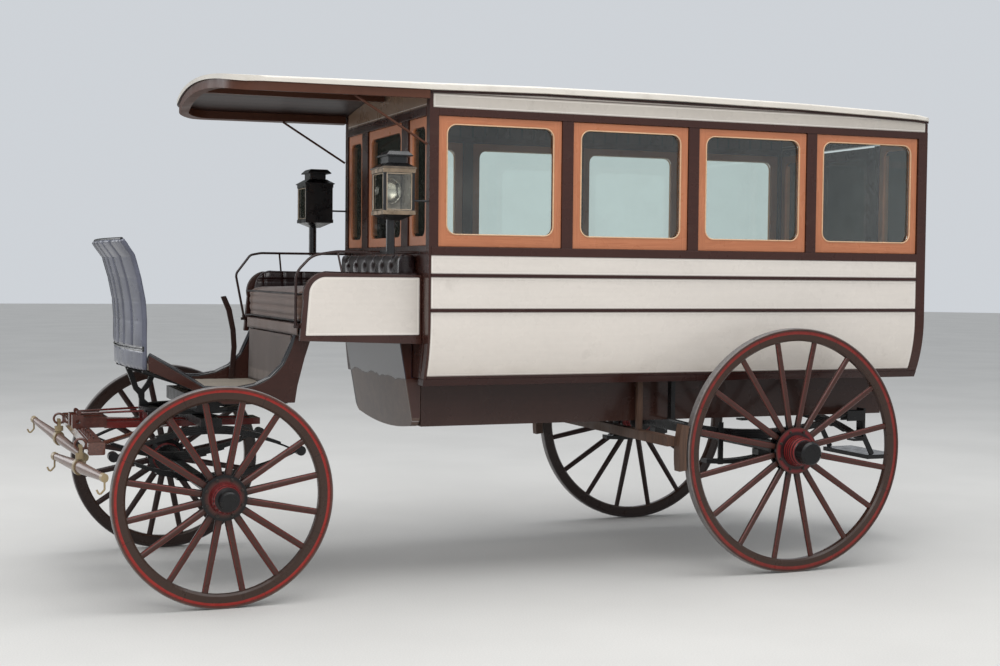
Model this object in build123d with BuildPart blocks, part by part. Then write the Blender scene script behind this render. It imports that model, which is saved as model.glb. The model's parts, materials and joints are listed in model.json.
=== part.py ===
from build123d import *
import os
from math import sin, cos, asin, radians, degrees, sqrt, pi

os.makedirs("parts", exist_ok=True)

# ---------------------------------------------------------------------------
# Horse-drawn omnibus.  Millimetres.  +X forward, +Y to the left, +Z up.
# The origin is on the ground below the middle of the vehicle's box.
# Lengths along X are given from the front axle and moved by front_axle_x.
# ---------------------------------------------------------------------------
front_axle_x = 1687.7251


def ax(v):
    return front_axle_x + v


# wheels
front_r = 508.0
rear_r = 635.0
wheelbase = 2954.5
front_face_y = 843.0          # outer face of the front tyres
rear_face_y = 954.0           # outer face of the rear tyres
tyre_w = 50.0
tyre_t = 14.0
felloe_w = 44.0
felloe_t = 52.0
spoke_count = 16
dish = 15.0
run_gap = 0.3                 # hub bore over axle arm

# body
wall_x = ax(-1004.0)          # front wall, outer face
tail_x = ax(-3899.0)          # rear wall, outer face
half_w = 736.0                # outer face of the side above the turn-under
turn_z = 1300.0
turn_r = 653.0
sill_z0, sill_z1 = 985.0, 1020.0
mould1_z = 1350.0
mould2_z = 1520.0
mould_h = 15.0
belt_z0, belt_z1 = 1625.0, 1666.0
sash_z0, sash_z1 = 1666.0, 2299.0
top_rail_z1 = 2335.0
panel_t = 30.0
post_t = 46.0
sash_w = 652.0
sash_pitch = 712.2
sash_x0 = ax(-1052.0)
corner_front_x0 = ax(-1051.5)
panel_front_x = ax(-1016.0)   # front end of the side panels
corner_rear_x1 = ax(-3841.5)

# floor well and underside
well_y = 500.0
well_z0 = 770.0
well_x0, well_x1 = ax(-3790.0), ax(-1050.0)

# driver's place
boot_y = 500.0
boot_t = 26.0
arm_y = 640.0                 # outer face of the seat's arms
arm_t = 28.0

# steering and front gear
ring_ro, ring_ri = 262.0, 214.0
ring_z = 852.0                # joint plane between the two rings
king_r = 20.0
front_spring_y = 450.0
rear_spring_y = 600.0


def block(x0, x1, y0, y1, z0, z1, mode=Mode.ADD):
    with Locations(((x0 + x1) / 2, (y0 + y1) / 2, (z0 + z1) / 2)):
        Box(x1 - x0, y1 - y0, z1 - z0, mode=mode)


def side_y(z, off=0.0):
    """outer line of the body side at height z, moved outward by off"""
    if z >= turn_z:
        return half_w + off
    return half_w - turn_r + sqrt((turn_r + off) ** 2 - (turn_z - z) ** 2)


def side_strip(x0, x1, z0, z1, t_out, t_in):
    """a strip of the left side wall between two offsets of its outer line"""
    with BuildSketch(Plane.YZ.offset(x0)) as section:
        with BuildLine():
            o0 = (side_y(z0, t_out), z0)
            i0 = (side_y(z0, -t_in), z0)
            o1 = (side_y(z1, t_out), z1)
            i1 = (side_y(z1, -t_in), z1)
            if z0 < turn_z:
                zt = min(z1, turn_z)
                zm = (z0 + zt) / 2
                ot = (side_y(zt, t_out), zt)
                it = (side_y(zt, -t_in), zt)
                ThreePointArc(o0, (side_y(zm, t_out), zm), ot)
                if z1 > turn_z:
                    Line(ot, o1)
                Line(o1, i1)
                if z1 > turn_z:
                    Line(i1, it)
                ThreePointArc(it, (side_y(zm, -t_in), zm), i0)
                Line(i0, o0)
            else:
                Polyline(o0, o1, i1, i0, close=True)
        make_face()
    extrude(section.sketch, amount=x1 - x0)


def save(piece, name):
    piece.part.label = name
    export_step(piece.part, f"parts/{name}.step")


# ---------------------------------------------------------------------------
# Wheels: tyre ring; felloe, spokes and hub in one piece
# ---------------------------------------------------------------------------
# name, axle x, side, radius, outer face y, hub profile (radius, outward from rim)
front_hub = [(70, -98), (78, -60), (100, -52), (100, -34), (82, -32), (82, 3),
             (105, 5), (105, 19), (72, 22), (66, 62), (58, 84), (44, 88), (44, 136),
             (36, 142), (0, 142)]
rear_hub = [(76, -112), (86, -66), (116, -58), (116, -38), (92, -36), (92, 3),
            (122, 5), (122, 21), (82, 25), (76, 70), (66, 96), (60, 100), (60, 160),
            (50, 171), (0, 171)]
wheel_table = [
    ("front_left", 0.0, 1, front_r, front_face_y, front_hub),
    ("front_right", 0.0, -1, front_r, front_face_y, front_hub),
    ("rear_left", -wheelbase, 1, rear_r, rear_face_y, rear_hub),
    ("rear_right", -wheelbase, -1, rear_r, rear_face_y, rear_hub),
]
arm_r = {"front": 24.0, "rear": 28.0}       # axle arm radius
bore_out = {"front": 84.0, "rear": 100.0}   # depth of the bore, outward from the rim

for name, x, side, r, face, hub in wheel_table:
    end = name.split("_")[0]
    yc = side * (face - tyre_w / 2)
    centre = (ax(x), yc, r)
    hub_plane = Plane(origin=centre, x_dir=(1, 0, 0), z_dir=(0, side, 0))
    prof_plane = Plane(origin=centre, x_dir=(0, 0, 1), z_dir=(side, 0, 0))
    axle_line = Axis(centre, (0, 1, 0))

    def rz(pts):
        # (radius, outward) to the profile plane, whose second direction is inward
        return [(a, -b) for a, b in pts]

    with BuildPart() as tyre:
        with BuildSketch(prof_plane):
            with BuildLine():
                h, c = tyre_w / 2, 5.0
                Polyline(*rz([(r - tyre_t, -h), (r - c, -h), (r, -h + c), (r, h - c),
                              (r - c, h), (r - tyre_t, h)]), close=True)
            make_face()
        revolve(axis=axle_line, revolution_arc=360)
    save(tyre, f"tyre_{name}")

    r_in = r - tyre_t - felloe_t
    with BuildPart() as wheel:
        with BuildSketch(prof_plane):
            with BuildLine():
                h, c = felloe_w / 2, 9.0
                Polyline(*rz([(r_in, -h + c), (r_in + c, -h), (r - tyre_t, -h),
                              (r - tyre_t, h), (r_in + c, h), (r_in, h - c)]), close=True)
            make_face()
        revolve(axis=axle_line, revolution_arc=360)
        with BuildSketch(prof_plane):
            with BuildLine():
                Polyline(*rz([(0, hub[0][1])] + hub), close=True)
            make_face()
        revolve(axis=axle_line, revolution_arc=360)
        foot_r = hub[4][0] - 14.0
        for k in range(spoke_count):
            a = 2 * pi * (k + 0.5) / spoke_count
            d = Vector(cos(a), 0, sin(a))
            foot = Vector(*centre) + d * foot_r - Vector(0, side * dish, 0)
            tip = Vector(*centre) + d * (r_in + 6.0)
            way = (tip - foot).normalized()
            across = Vector(-sin(a), 0, cos(a))
            with BuildSketch(Plane(origin=foot, x_dir=across, z_dir=way)):
                Ellipse(18.0, 15.0)
            with BuildSketch(Plane(origin=tip, x_dir=across, z_dir=way)):
                Ellipse(15.0, 12.0)
            loft()
        depth = bore_out[end] - hub[0][1]
        with BuildSketch(hub_plane.offset(hub[0][1])):
            Circle(arm_r[end] + run_gap)
        extrude(amount=depth, mode=Mode.SUBTRACT)
    save(wheel, f"wheel_{name}")

# ---------------------------------------------------------------------------
# Body framing
# ---------------------------------------------------------------------------
with BuildPart() as corner_posts:
    side_strip(panel_front_x, wall_x, sill_z1, belt_z0, 3.0, post_t)
    side_strip(corner_front_x0, wall_x, belt_z1, top_rail_z1, 3.0, post_t)
    side_strip(panel_front_x, wall_x, belt_z0, belt_z1, 3.0, post_t)
    side_strip(tail_x, corner_rear_x1, sill_z1, top_rail_z1, 3.0, post_t)
    # their tops beside the letterboards, up to the roof
    side_strip(wall_x - 18, wall_x, top_rail_z1, 2406.0, 1.0, post_t)
    side_strip(tail_x, tail_x + 12, top_rail_z1, 2383.5, 1.0, post_t)
    mirror(about=Plane.XZ)
save(corner_posts, "corner_posts")

with BuildPart() as sills:
    # brown sill outside, floor shelf inside, one on each side of the well
    side_strip(tail_x, wall_x, sill_z0, sill_z1, 6.0, 75.0)
    block(tail_x + 40.0, wall_x - 40.0, well_y, 590.0, sill_z0, sill_z1)
    mirror(about=Plane.XZ)
save(sills, "sills")

with BuildPart() as side_panel_left:
    side_strip(corner_rear_x1, panel_front_x, sill_z1, belt_z0, 0.0, panel_t)
save(side_panel_left, "side_panel_left")

with BuildPart() as side_panel_right:
    side_strip(corner_rear_x1, panel_front_x, sill_z1, belt_z0, 0.0, panel_t)
    mirror(about=Plane.XZ, mode=Mode.REPLACE)
save(side_panel_right, "side_panel_right")

roof_half = 772.0
crown = 60.0
canopy_x = ax(2.0)
roof_tail_x = ax(-3908.0)
# the roof's edge is arched along its length: x, its lower line, its height
roof_stations = [(roof_tail_x - 1, 2394.0, 12.0), (ax(-3820.0), 2401.0, 21.0),
                 (ax(-3630.0), 2407.0, 27.0), (ax(-3060.0), 2421.0, 28.0),
                 (ax(-2300.0), 2428.0, 29.0), (ax(-1600.0), 2427.5, 28.0),
                 (wall_x, 2417.0, 28.0), (canopy_x, 2411.0, 20.0)]


def roof_z(x):
    """lower line of the roof's edge at x"""
    for (xa, za, _), (xb, zb, _) in zip(roof_stations, roof_stations[1:]):
        if x <= xb:
            return za + (zb - za) * (x - xa) / (xb - xa)
    return roof_stations[-1][1]


def under_roof(x0, x1, low, gap):
    """outline from low up to a line a gap under the roof's edge, between x0 and x1"""
    xs = [x0] + [x for x, _, _ in roof_stations if x0 < x < x1] + [x1]
    top = [(x, roof_z(x) - gap) for x in xs]
    if callable(low):
        base = [(x, low(x)) for x in reversed(xs)]
    else:
        base = [(x1, low), (x0, low)]
    Polyline(*top, *base, close=True)


letter_x0, letter_x1 = tail_x + 12, wall_x - 18
with BuildPart() as letterboards:
    # the board above the side lights, between the tops of the corner posts
    with BuildSketch(Plane.XZ.offset(-733.0)):
        with BuildLine():
            under_roof(letter_x0, letter_x1, top_rail_z1, 10.5)
        make_face()
    extrude(amount=30.0)
    mirror(about=Plane.XZ)
save(letterboards, "letterboards")

with BuildPart() as mouldings:
    # z low, z high, proud
    for z0, z1, proud in [(sill_z1, sill_z1 + 12, 8.0), (mould1_z, mould1_z + mould_h, 9.0),
                          (mould2_z, mould2_z + mould_h, 9.0)]:
        side_strip(corner_rear_x1, panel_front_x, z0, z1, proud, 0.0)
    # under the roof's edge
    with BuildSketch(Plane.XZ.offset(-745.0)):
        with BuildLine():
            under_roof(tail_x, wall_x, lambda x: roof_z(x) - 10.5, 0.5)
        make_face()
    extrude(amount=42.0)
    mirror(about=Plane.XZ)
save(mouldings, "mouldings")

# side sashes: frame round a rounded light
sash_in_side, sash_in_top, sash_in_bot, light_r = 45.0, 40.0, 61.0, 48.0
sash_y0, sash_y1 = 700.0, 728.0
glass_y0, glass_y1 = 711.0, 716.0


def light_size(w, z0, z1):
    return w - 2 * sash_in_side, z1 - sash_in_top - (z0 + sash_in_bot)


side_light_w, side_light_h = light_size(sash_w, sash_z0, sash_z1)
side_light_z = (sash_z0 + sash_in_bot + sash_z1 - sash_in_top) / 2
with BuildPart() as side_sashes:
    for k in range(4):
        xc = sash_x0 - sash_pitch * k - sash_w / 2
        with BuildSketch(Plane(origin=(xc, sash_y1, 0), x_dir=(1, 0, 0), z_dir=(0, -1, 0))):
            with Locations((0, (sash_z0 + sash_z1) / 2)):
                Rectangle(sash_w - 2, sash_z1 - sash_z0 - 1)
            with Locations((0, side_light_z)):
                RectangleRounded(side_light_w, side_light_h, light_r, mode=Mode.SUBTRACT)
        extrude(amount=sash_y1 - sash_y0)
    mirror(about=Plane.XZ)
save(side_sashes, "side_sashes")

# ---------------------------------------------------------------------------
# Front wall and its three sashes
# ---------------------------------------------------------------------------
wall_t = 40.0
front_z0, front_z1 = 1672.0, 2300.0
in_y = half_w + 3.0 - 3.0 - post_t          # inner face of the corner posts
front_post_y0, front_post_y1 = 300.0, 404.0
with BuildPart() as front_wall:
    with BuildSketch(Plane.YZ.offset(wall_x - wall_t)):
        with BuildLine():
            Polyline((-in_y, front_z0), (-in_y, turn_z), (-618, sill_z1), (618, sill_z1),
                     (in_y, turn_z), (in_y, front_z0), close=True)
        make_face()
    extrude(amount=wall_t)
save(front_wall, "front_wall")

front_sash_x0, front_sash_x1 = wall_x - 34.0, wall_x - 8.0
# centre y, width
front_lights = [(0.0, 2 * front_post_y0), ((front_post_y1 + in_y) / 2, in_y - front_post_y1),
                (-(front_post_y1 + in_y) / 2, in_y - front_post_y1)]
# ---------------------------------------------------------------------------
# Rear wall, door frame and its sashes
# ---------------------------------------------------------------------------
door_half = 300.0
door_z0, door_z1 = 800.0, 2285.0
in_sill_y = 560.0
jamb_y0, jamb_y1 = door_half + 5.0, door_half + 45.0
# rear door hinges: axis behind the wall
hinge_x, hinge_y = tail_x - 9.0, 302.5
hinge_z = (1000.0, 1500.0, 2100.0)
with BuildPart() as rear_wall:
    with BuildSketch(Plane.YZ.offset(tail_x)):
        with BuildLine():
            Polyline((jamb_y1, sill_z0), (well_y, sill_z0), (well_y, sill_z1 - 0.5),
                     (in_sill_y, sill_z1 - 0.5), (in_sill_y, sill_z1), (618, sill_z1),
                     (in_y, turn_z), (in_y, belt_z1), (jamb_y1, belt_z1), close=True)
        make_face()
    extrude(amount=wall_t)
    mirror(about=Plane.XZ)
save(rear_wall, "rear_wall")

with BuildPart() as window_posts:
    # between the side lights
    for k in range(3):
        x1 = sash_x0 - sash_pitch * k - sash_w
        block(x1 - (sash_pitch - sash_w), x1, in_y, half_w, sash_z0, sash_z1)
    # between the front lights, and the jambs of the rear door
    block(wall_x - wall_t, wall_x, front_post_y0, front_post_y1, front_z0, front_z1)
    block(tail_x, tail_x + wall_t, jamb_y0, jamb_y1, well_z0, door_z1 + 6)
    mirror(about=Plane.XZ)
    # fixed leaves and knuckles of the rear door's hinges, on the right jamb
    for zc in hinge_z:
        block(tail_x - 4, tail_x, -jamb_y1 + 2, -hinge_y - 5, zc - 45, zc + 45)
        for dz in (-33, 33):
            block(hinge_x - 2, hinge_x + 7, -hinge_y - 8, -hinge_y - 3, zc + dz - 12, zc + dz + 12)
            with BuildSketch(Plane(origin=(hinge_x, -hinge_y, zc + dz - 12))):
                Circle(7.0)
            extrude(amount=24.0)
save(window_posts, "window_posts")

with BuildPart() as rails:
    # belt and top rails of the sides, headers of the front and the rear
    block(corner_rear_x1, panel_front_x, in_y, half_w + 6, belt_z0, belt_z1)
    block(corner_rear_x1, corner_front_x0, in_y, half_w + 4, sash_z1, top_rail_z1)
    mirror(about=Plane.XZ)
    block(wall_x - wall_t, wall_x + 4, -in_y, in_y, front_z1, top_rail_z1 + 6)
    block(tail_x, tail_x + wall_t, -in_y, in_y, sash_z1, top_rail_z1)
save(rails, "rails")

with BuildPart() as arch_panels:
    # cream arches between the headers and the crowned roof; x, thickness, base, roof edge
    for x, t, z0, zr in [(wall_x - 32.0, 30.0, top_rail_z1 + 6, roof_z(wall_x - 32.0)),
                         (tail_x + 2.0, 30.0, top_rail_z1, roof_z(tail_x))]:
        with BuildSketch(Plane.YZ.offset(x)):
            with BuildLine():
                Line((-690, z0), (-690, zr + 3.0))
                ThreePointArc((-690, zr + 3.0), (0, zr + crown - 1.5), (690, zr + 3.0))
                Polyline((690, zr + 3.0), (690, z0), (-690, z0))
            make_face()
        extrude(amount=t)
save(arch_panels, "arch_panels")

rear_sash_w = in_y - jamb_y1
with BuildPart() as end_sashes:
    for yc, w in front_lights:
        edge = 42.0
        with BuildSketch(Plane.YZ.offset(front_sash_x0)):
            with Locations((yc, (front_z0 + front_z1) / 2)):
                Rectangle(w - 2, front_z1 - front_z0 - 1)
                RectangleRounded(w - 2 * edge, front_z1 - front_z0 - 2 * edge - 10, 40,
                                 mode=Mode.SUBTRACT)
        extrude(amount=front_sash_x1 - front_sash_x0)
    for s in (1, -1):
        with BuildSketch(Plane.YZ.offset(tail_x + 8)):
            with Locations((s * (in_y + jamb_y1) / 2, (belt_z1 + sash_z1) / 2)):
                Rectangle(rear_sash_w - 2, sash_z1 - belt_z1 - 2)
                RectangleRounded(rear_sash_w - 84, sash_z1 - belt_z1 - 94, 40, mode=Mode.SUBTRACT)
        extrude(amount=26)
save(end_sashes, "end_sashes")

# panes of the side, front and rear lights, each just inside its sash
with BuildPart() as window_glass:
    for side in (1, -1):
        for k in range(4):
            xc = sash_x0 - sash_pitch * k - sash_w / 2
            y_hi = glass_y1 if side > 0 else -glass_y0
            with BuildSketch(Plane(origin=(xc, y_hi, 0), x_dir=(1, 0, 0), z_dir=(0, -1, 0))):
                with Locations((0, side_light_z)):
                    RectangleRounded(side_light_w - 0.6, side_light_h - 0.6, light_r - 0.3)
            extrude(amount=glass_y1 - glass_y0)
    for yc, w in front_lights:
        with BuildSketch(Plane.YZ.offset(wall_x - 24)):
            with Locations((yc, (front_z0 + front_z1) / 2)):
                RectangleRounded(w - 84.6, front_z1 - front_z0 - 94.6, 39.7)
        extrude(amount=5)
    for s in (1, -1):
        with BuildSketch(Plane.YZ.offset(tail_x + 18)):
            with Locations((s * (in_y + jamb_y1) / 2, (belt_z1 + sash_z1) / 2)):
                RectangleRounded(rear_sash_w - 84.6, sash_z1 - belt_z1 - 94.6, 39.7)
        extrude(amount=5)
save(window_glass, "window_glass")

# ---------------------------------------------------------------------------
# Roof with the canopy over the driver
# ---------------------------------------------------------------------------
# plan of the canopy's nose: end of the bow, corner radius, bow depth
nose_y, nose_bow = 575.0, 25.0


def nose_line(inset):
    """plan line round the canopy's nose, inset from the roof's edge, ends on y = -s and y = s"""
    s = roof_half - inset
    c = s - nose_y
    xc = ax(-nose_bow - (roof_half - nose_y))
    ThreePointArc((xc, s), (xc + c * 0.7071, nose_y + c * 0.7071), (xc + c, nose_y))
    ThreePointArc((xc + c, nose_y), (xc + c + nose_bow, 0), (xc + c, -nose_y))
    ThreePointArc((xc + c, -nose_y), (xc + c * 0.7071, -nose_y - c * 0.7071), (xc, -s))
    return xc, s


with BuildPart() as roof:
    for x, zb, eh in roof_stations:
        with BuildSketch(Plane.YZ.offset(x)):
            with BuildLine():
                Line((-roof_half, zb), (-roof_half, zb + eh - 8))
                ThreePointArc((-roof_half, zb + eh - 8), (-roof_half + 3, zb + eh),
                              (-roof_half + 12, zb + eh + 3))
                ThreePointArc((-roof_half + 12, zb + eh + 3), (0, zb + eh + crown),
                              (roof_half - 12, zb + eh + 3))
                ThreePointArc((roof_half - 12, zb + eh + 3), (roof_half - 3, zb + eh),
                              (roof_half, zb + eh - 8))
                Line((roof_half, zb + eh - 8), (roof_half, zb))
                Line((roof_half, zb), (roof_half - 34, zb))
                ThreePointArc((roof_half - 34, zb), (0, zb + crown), (-roof_half + 34, zb))
                Line((-roof_half + 34, zb), (-roof_half, zb))
            make_face()
    loft(ruled=True)
    # round the nose and the rear corners in plan
    with BuildSketch(Plane.XY.offset(2200.0)):
        with BuildLine():
            xc, s = nose_line(-1.0)
            q, xt = 60.0, roof_tail_x
            Line((xc, -s), (xt + q, -s))
            ThreePointArc((xt + q, -s), (xt + 0.2929 * q, -s + 0.2929 * q), (xt, -s + q))
            Line((xt, -s + q), (xt, s - q))
            ThreePointArc((xt, s - q), (xt + 0.2929 * q, s - 0.2929 * q), (xt + q, s))
            Line((xt + q, s), (xc, s))
        make_face()
    extrude(amount=500.0, mode=Mode.INTERSECT)
save(roof, "roof")

with BuildPart() as canopy_frame:
    # board that hangs round the sides and the nose, below the roof's edge and arched with it
    board_x0 = wall_x + 6
    for x in (board_x0, ax(5)):
        zt = roof_z(x) - 0.6
        with BuildSketch(Plane.YZ.offset(x)):
            with BuildLine():
                Line((-766, zt), (-738, zt))
                ThreePointArc((-738, zt), (0, zt + crown - 1.0), (738, zt))
                Polyline((738, zt), (766, zt), (766, zt - 41), (738, zt - 41))
                ThreePointArc((738, zt - 41), (0, zt + crown - 42), (-738, zt - 41))
                Polyline((-738, zt - 41), (-766, zt - 41), (-766, zt))
            make_face()
    loft(ruled=True)
    with BuildSketch(Plane.XY.offset(2300.0)):
        with BuildLine():
            xc, s = nose_line(10.0)
            Line((xc, -s), (board_x0, -s))
            Line((board_x0, -s), (board_x0, -s + 50))
            xi, si = nose_line(60.0)
            Line((board_x0, -si), (xi, -si))
            Line((xi, si), (board_x0, si))
            Line((board_x0, si), (board_x0, s))
            Line((board_x0, s), (xc, s))
        make_face()
    extrude(amount=300.0, mode=Mode.INTERSECT)
    # beam under the middle of the ceiling
    block(board_x0, ax(-56), -24.0, 24.0, 2431.0, 2470.0)
    # stays from the side boards down to the corner posts
    for s in (1, -1):
        with BuildLine() as stay_line:
            Line((ax(-637), s * 725.0, 2374.0), (wall_x + 8, s * 725.0, 2158.0))
        with BuildSketch(Plane(origin=stay_line.line @ 0, z_dir=stay_line.line % 0)):
            Circle(6.0)
        sweep(path=stay_line.line)
save(canopy_frame, "canopy_frame")

# ---------------------------------------------------------------------------
# Floor, well and benches
# ---------------------------------------------------------------------------
with BuildPart() as floor_well:
    block(well_x0, well_x1, -well_y, well_y, well_z0, well_z0 + 25)
    block(well_x0, well_x1, well_y - 25, well_y, well_z0 + 25, sill_z1)
    block(well_x0, well_x1, -well_y, -well_y + 25, well_z0 + 25, sill_z1)
    block(well_x1 - 25, well_x1, -well_y + 25, well_y - 25, well_z0 + 25, sill_z1)
    block(tail_x, well_x0, -jamb_y0, jamb_y0, well_z0, well_z0 + 23)
    # the well narrows to the doorway
    for s in (1, -1):
        block(well_x0, well_x0 + 25, min(s * 327.0, s * 475.0), max(s * 327.0, s * 475.0),
              well_z0 + 25, sill_z1)
        block(tail_x + wall_t + 0.5, well_x0, min(s * jamb_y0, s * 349.0),
              max(s * jamb_y0, s * 349.0), well_z0, well_z0 + 23)
        block(tail_x + wall_t + 0.5, well_x0, min(s * 327.0, s * 349.0),
              max(s * 327.0, s * 349.0), well_z0 + 23, sill_z1)
save(floor_well, "floor_well")

bench_z = 1210.0
with BuildPart() as bench_seats:
    block(tail_x + 60, wall_x - 60, 330.0, 672.0, bench_z - 22, bench_z)
    block(tail_x + 60, wall_x - 60, 352.0, 374.0, sill_z1, bench_z - 22)
    mirror(about=Plane.XZ)
save(bench_seats, "bench_seats")

with BuildPart() as bench_cushions:
    # seat cushions and back pads
    block(tail_x + 64, wall_x - 64, 326.0, 656.0, bench_z, bench_z + 90)
    block(tail_x + 64, wall_x - 64, 662.0, 700.0, bench_z + 100, belt_z0 - 10)
    mirror(about=Plane.XZ)
save(bench_cushions, "bench_cushions")

with BuildPart() as front_lower_panel:
    # curved toe of the well, glossy black
    with BuildSketch(Plane.XZ.offset(-well_y)):
        with BuildLine():
            Polyline((wall_x + 2, sill_z1 + 209), (ax(-931), sill_z1 + 209),
                     (ax(-1017), well_z0 - 40), (ax(-1048), well_z0 - 40),
                     (ax(-1048), sill_z1 - 2), (wall_x + 2, sill_z1 - 2), close=True)
        make_face()
    extrude(amount=2 * well_y)
    # arched lower edge with rounded corners
    with BuildSketch(Plane.YZ.offset(ax(-1060))):
        with BuildLine():
            Line((-500, 1240), (-500, 815))
            ThreePointArc((-500, 815), (-482, 786), (-430, 768))
            ThreePointArc((-430, 768), (0, 739), (430, 768))
            ThreePointArc((430, 768), (482, 786), (500, 815))
            Line((500, 815), (500, 1240))
            Line((500, 1240), (-500, 1240))
        make_face()
    extrude(amount=150.0, mode=Mode.INTERSECT)
save(front_lower_panel, "front_lower_panel")

# ---------------------------------------------------------------------------
# Driver's place
# ---------------------------------------------------------------------------
with BuildPart() as seat_arms:
    with BuildSketch(Plane.XZ.offset(-arm_y)):
        with BuildLine():
            Line((wall_x + 0.5, 1190), (ax(-395), 1210))
            Line((ax(-395), 1210), (ax(-414), 1400))
            ThreePointArc((ax(-414), 1400), (ax(-436), 1497), (ax(-500), 1537))
            Line((ax(-500), 1537), (wall_x + 0.5, 1528))
            Line((wall_x + 0.5, 1528), (wall_x + 0.5, 1190))
        make_face()
    extrude(amount=arm_t)
    mirror(about=Plane.XZ)
save(seat_arms, "seat_arms")

with BuildPart() as arm_bolsters:
    # leather rolls on the inside of the arms
    with BuildSketch(Plane.XZ.offset(-arm_y + arm_t + 1.5)):
        with BuildLine():
            Polyline((wall_x + 2, 1545), (wall_x + 2, 1291), (ax(-426), 1291), (ax(-432), 1410))
            ThreePointArc((ax(-432), 1410), (ax(-455), 1508), (ax(-520), 1552))
            Line((ax(-520), 1552), (wall_x + 2, 1545))
        make_face()
    extrude(amount=38.0)
    mirror(about=Plane.XZ)
save(arm_bolsters, "arm_bolsters")

seat_z = 1290.0
with BuildPart() as driver_seat_box:
    block(wall_x, ax(-412), -arm_y + arm_t, arm_y - arm_t, 1230.0, seat_z)
save(driver_seat_box, "driver_seat_box")

with BuildPart() as driver_cushion:
    block(wall_x + 90, ax(-388), -566.0, 566.0, seat_z, seat_z + 168)
    fillet(driver_cushion.part.edges().filter_by(Axis.Y).sort_by(Axis.Z)[-2:], 35)
save(driver_cushion, "driver_cushion")

with BuildPart() as driver_backrest:
    block(wall_x, wall_x + 84, -566.0, 566.0, seat_z + 70, 1652.0)
    fillet(driver_backrest.part.edges().filter_by(Axis.Y).group_by(Axis.X)[-1], 26)
save(driver_backrest, "driver_backrest")

boot_top = [(-411, 1229), (-399, 1197), (-349, 1087), (-287, 1026), (-212, 991), (-114, 974),
            (32, 983), (104, 1033), (191, 1087), (288, 1142)]
with BuildPart() as boot_sides:
    with BuildSketch(Plane.XZ.offset(-boot_y)):
        with BuildLine():
            # up the riser, along the trim line, round the toe and back along the bottom
            Polyline((ax(-478), 1229), (ax(-411), 1229), (ax(-399), 1197))
            ThreePointArc((ax(-399), 1197), (ax(-349), 1087), (ax(-212), 991))
            ThreePointArc((ax(-212), 991), (ax(-95), 972), (ax(32), 985))
            Polyline((ax(32), 985), (ax(288.5), 1142), (ax(288.5), 1069), (ax(40), 955),
                     (ax(-60), 905), (ax(-408), 905), (ax(-420), 985), (ax(-455), 1120),
                     (ax(-490), 1229), (ax(-478), 1229))
        make_face()
    extrude(amount=boot_t)
    mirror(about=Plane.XZ)
save(boot_sides, "boot_sides")

inner_y = boot_y - boot_t
# the dash is bowed forward in plan; its radius, and how far its middle stands in front of its edges
dash_half, dash_r = 490.0, 2600.0
dash_a = asin(dash_half / dash_r)
dash_bow = dash_r * (1 - cos(dash_a))
dash_cx = ax(337.0) + dash_bow - dash_r
dash_profile = [(290, 1072), (290, 1300), (297, 1398), (318, 1509), (347, 1614), (400, 1688),
                (424, 1676), (371, 1604), (342, 1503), (321, 1396), (314, 1300), (314, 1072)]
with BuildPart() as dash:
    with BuildSketch(Plane(origin=(dash_cx, 0, 0), x_dir=(cos(dash_a), -sin(dash_a), 0),
                           z_dir=(-sin(dash_a), -cos(dash_a), 0))):
        with BuildLine():
            Polyline(*[(ax(x) + dash_bow - dash_cx, z) for x, z in dash_profile], close=True)
        make_face()
    revolve(axis=Axis((dash_cx, 0, 0), (0, 0, 1)), revolution_arc=degrees(2 * dash_a))
save(dash, "dash")

with BuildPart() as footboard:
    with BuildSketch(Plane.XZ.offset(-inner_y)):
        with BuildLine():
            Polyline((ax(-418), 930), (ax(-60), 930), (ax(40), 972), (ax(345), 1092.5),
                     (ax(337), 1116.5), (ax(28), 996), (ax(-66), 958), (ax(-418), 958), close=True)
        make_face()
    extrude(amount=2 * inner_y)
    # front edge follows the dash
    with Locations((dash_cx, 0, 1000)):
        Cylinder(ax(290) + dash_bow - dash_cx - 0.5, 600.0, mode=Mode.INTERSECT)
save(footboard, "footboard")

with BuildPart() as seat_riser:
    with BuildSketch(Plane.XZ.offset(-inner_y)):
        with BuildLine():
            Polyline((ax(-416), 958), (ax(-392), 958), (ax(-400), 1229), (ax(-424), 1229),
                     close=True)
        make_face()
    extrude(amount=2 * inner_y)
save(seat_riser, "seat_riser")

with BuildPart() as dash_irons:
    for y in (200.0, 455.0):
        # how far the dash stands forward there
        d = dash_bow - dash_r * (1 - cos(asin(y / dash_r))) + 3.0
        with BuildSketch(Plane.XZ.offset(-y - 14)):
            with BuildLine():
                Polyline((ax(60), 964), (ax(60), 977.5), (ax(284 + d), 1068.5),
                         (ax(304 + d), 1068.5), (ax(304 + d), 1060), (ax(286 + d), 1055),
                         close=True)
            make_face()
        extrude(amount=28)
    mirror(about=Plane.XZ)
save(dash_irons, "dash_irons")

rail_y = 600.0
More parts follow.
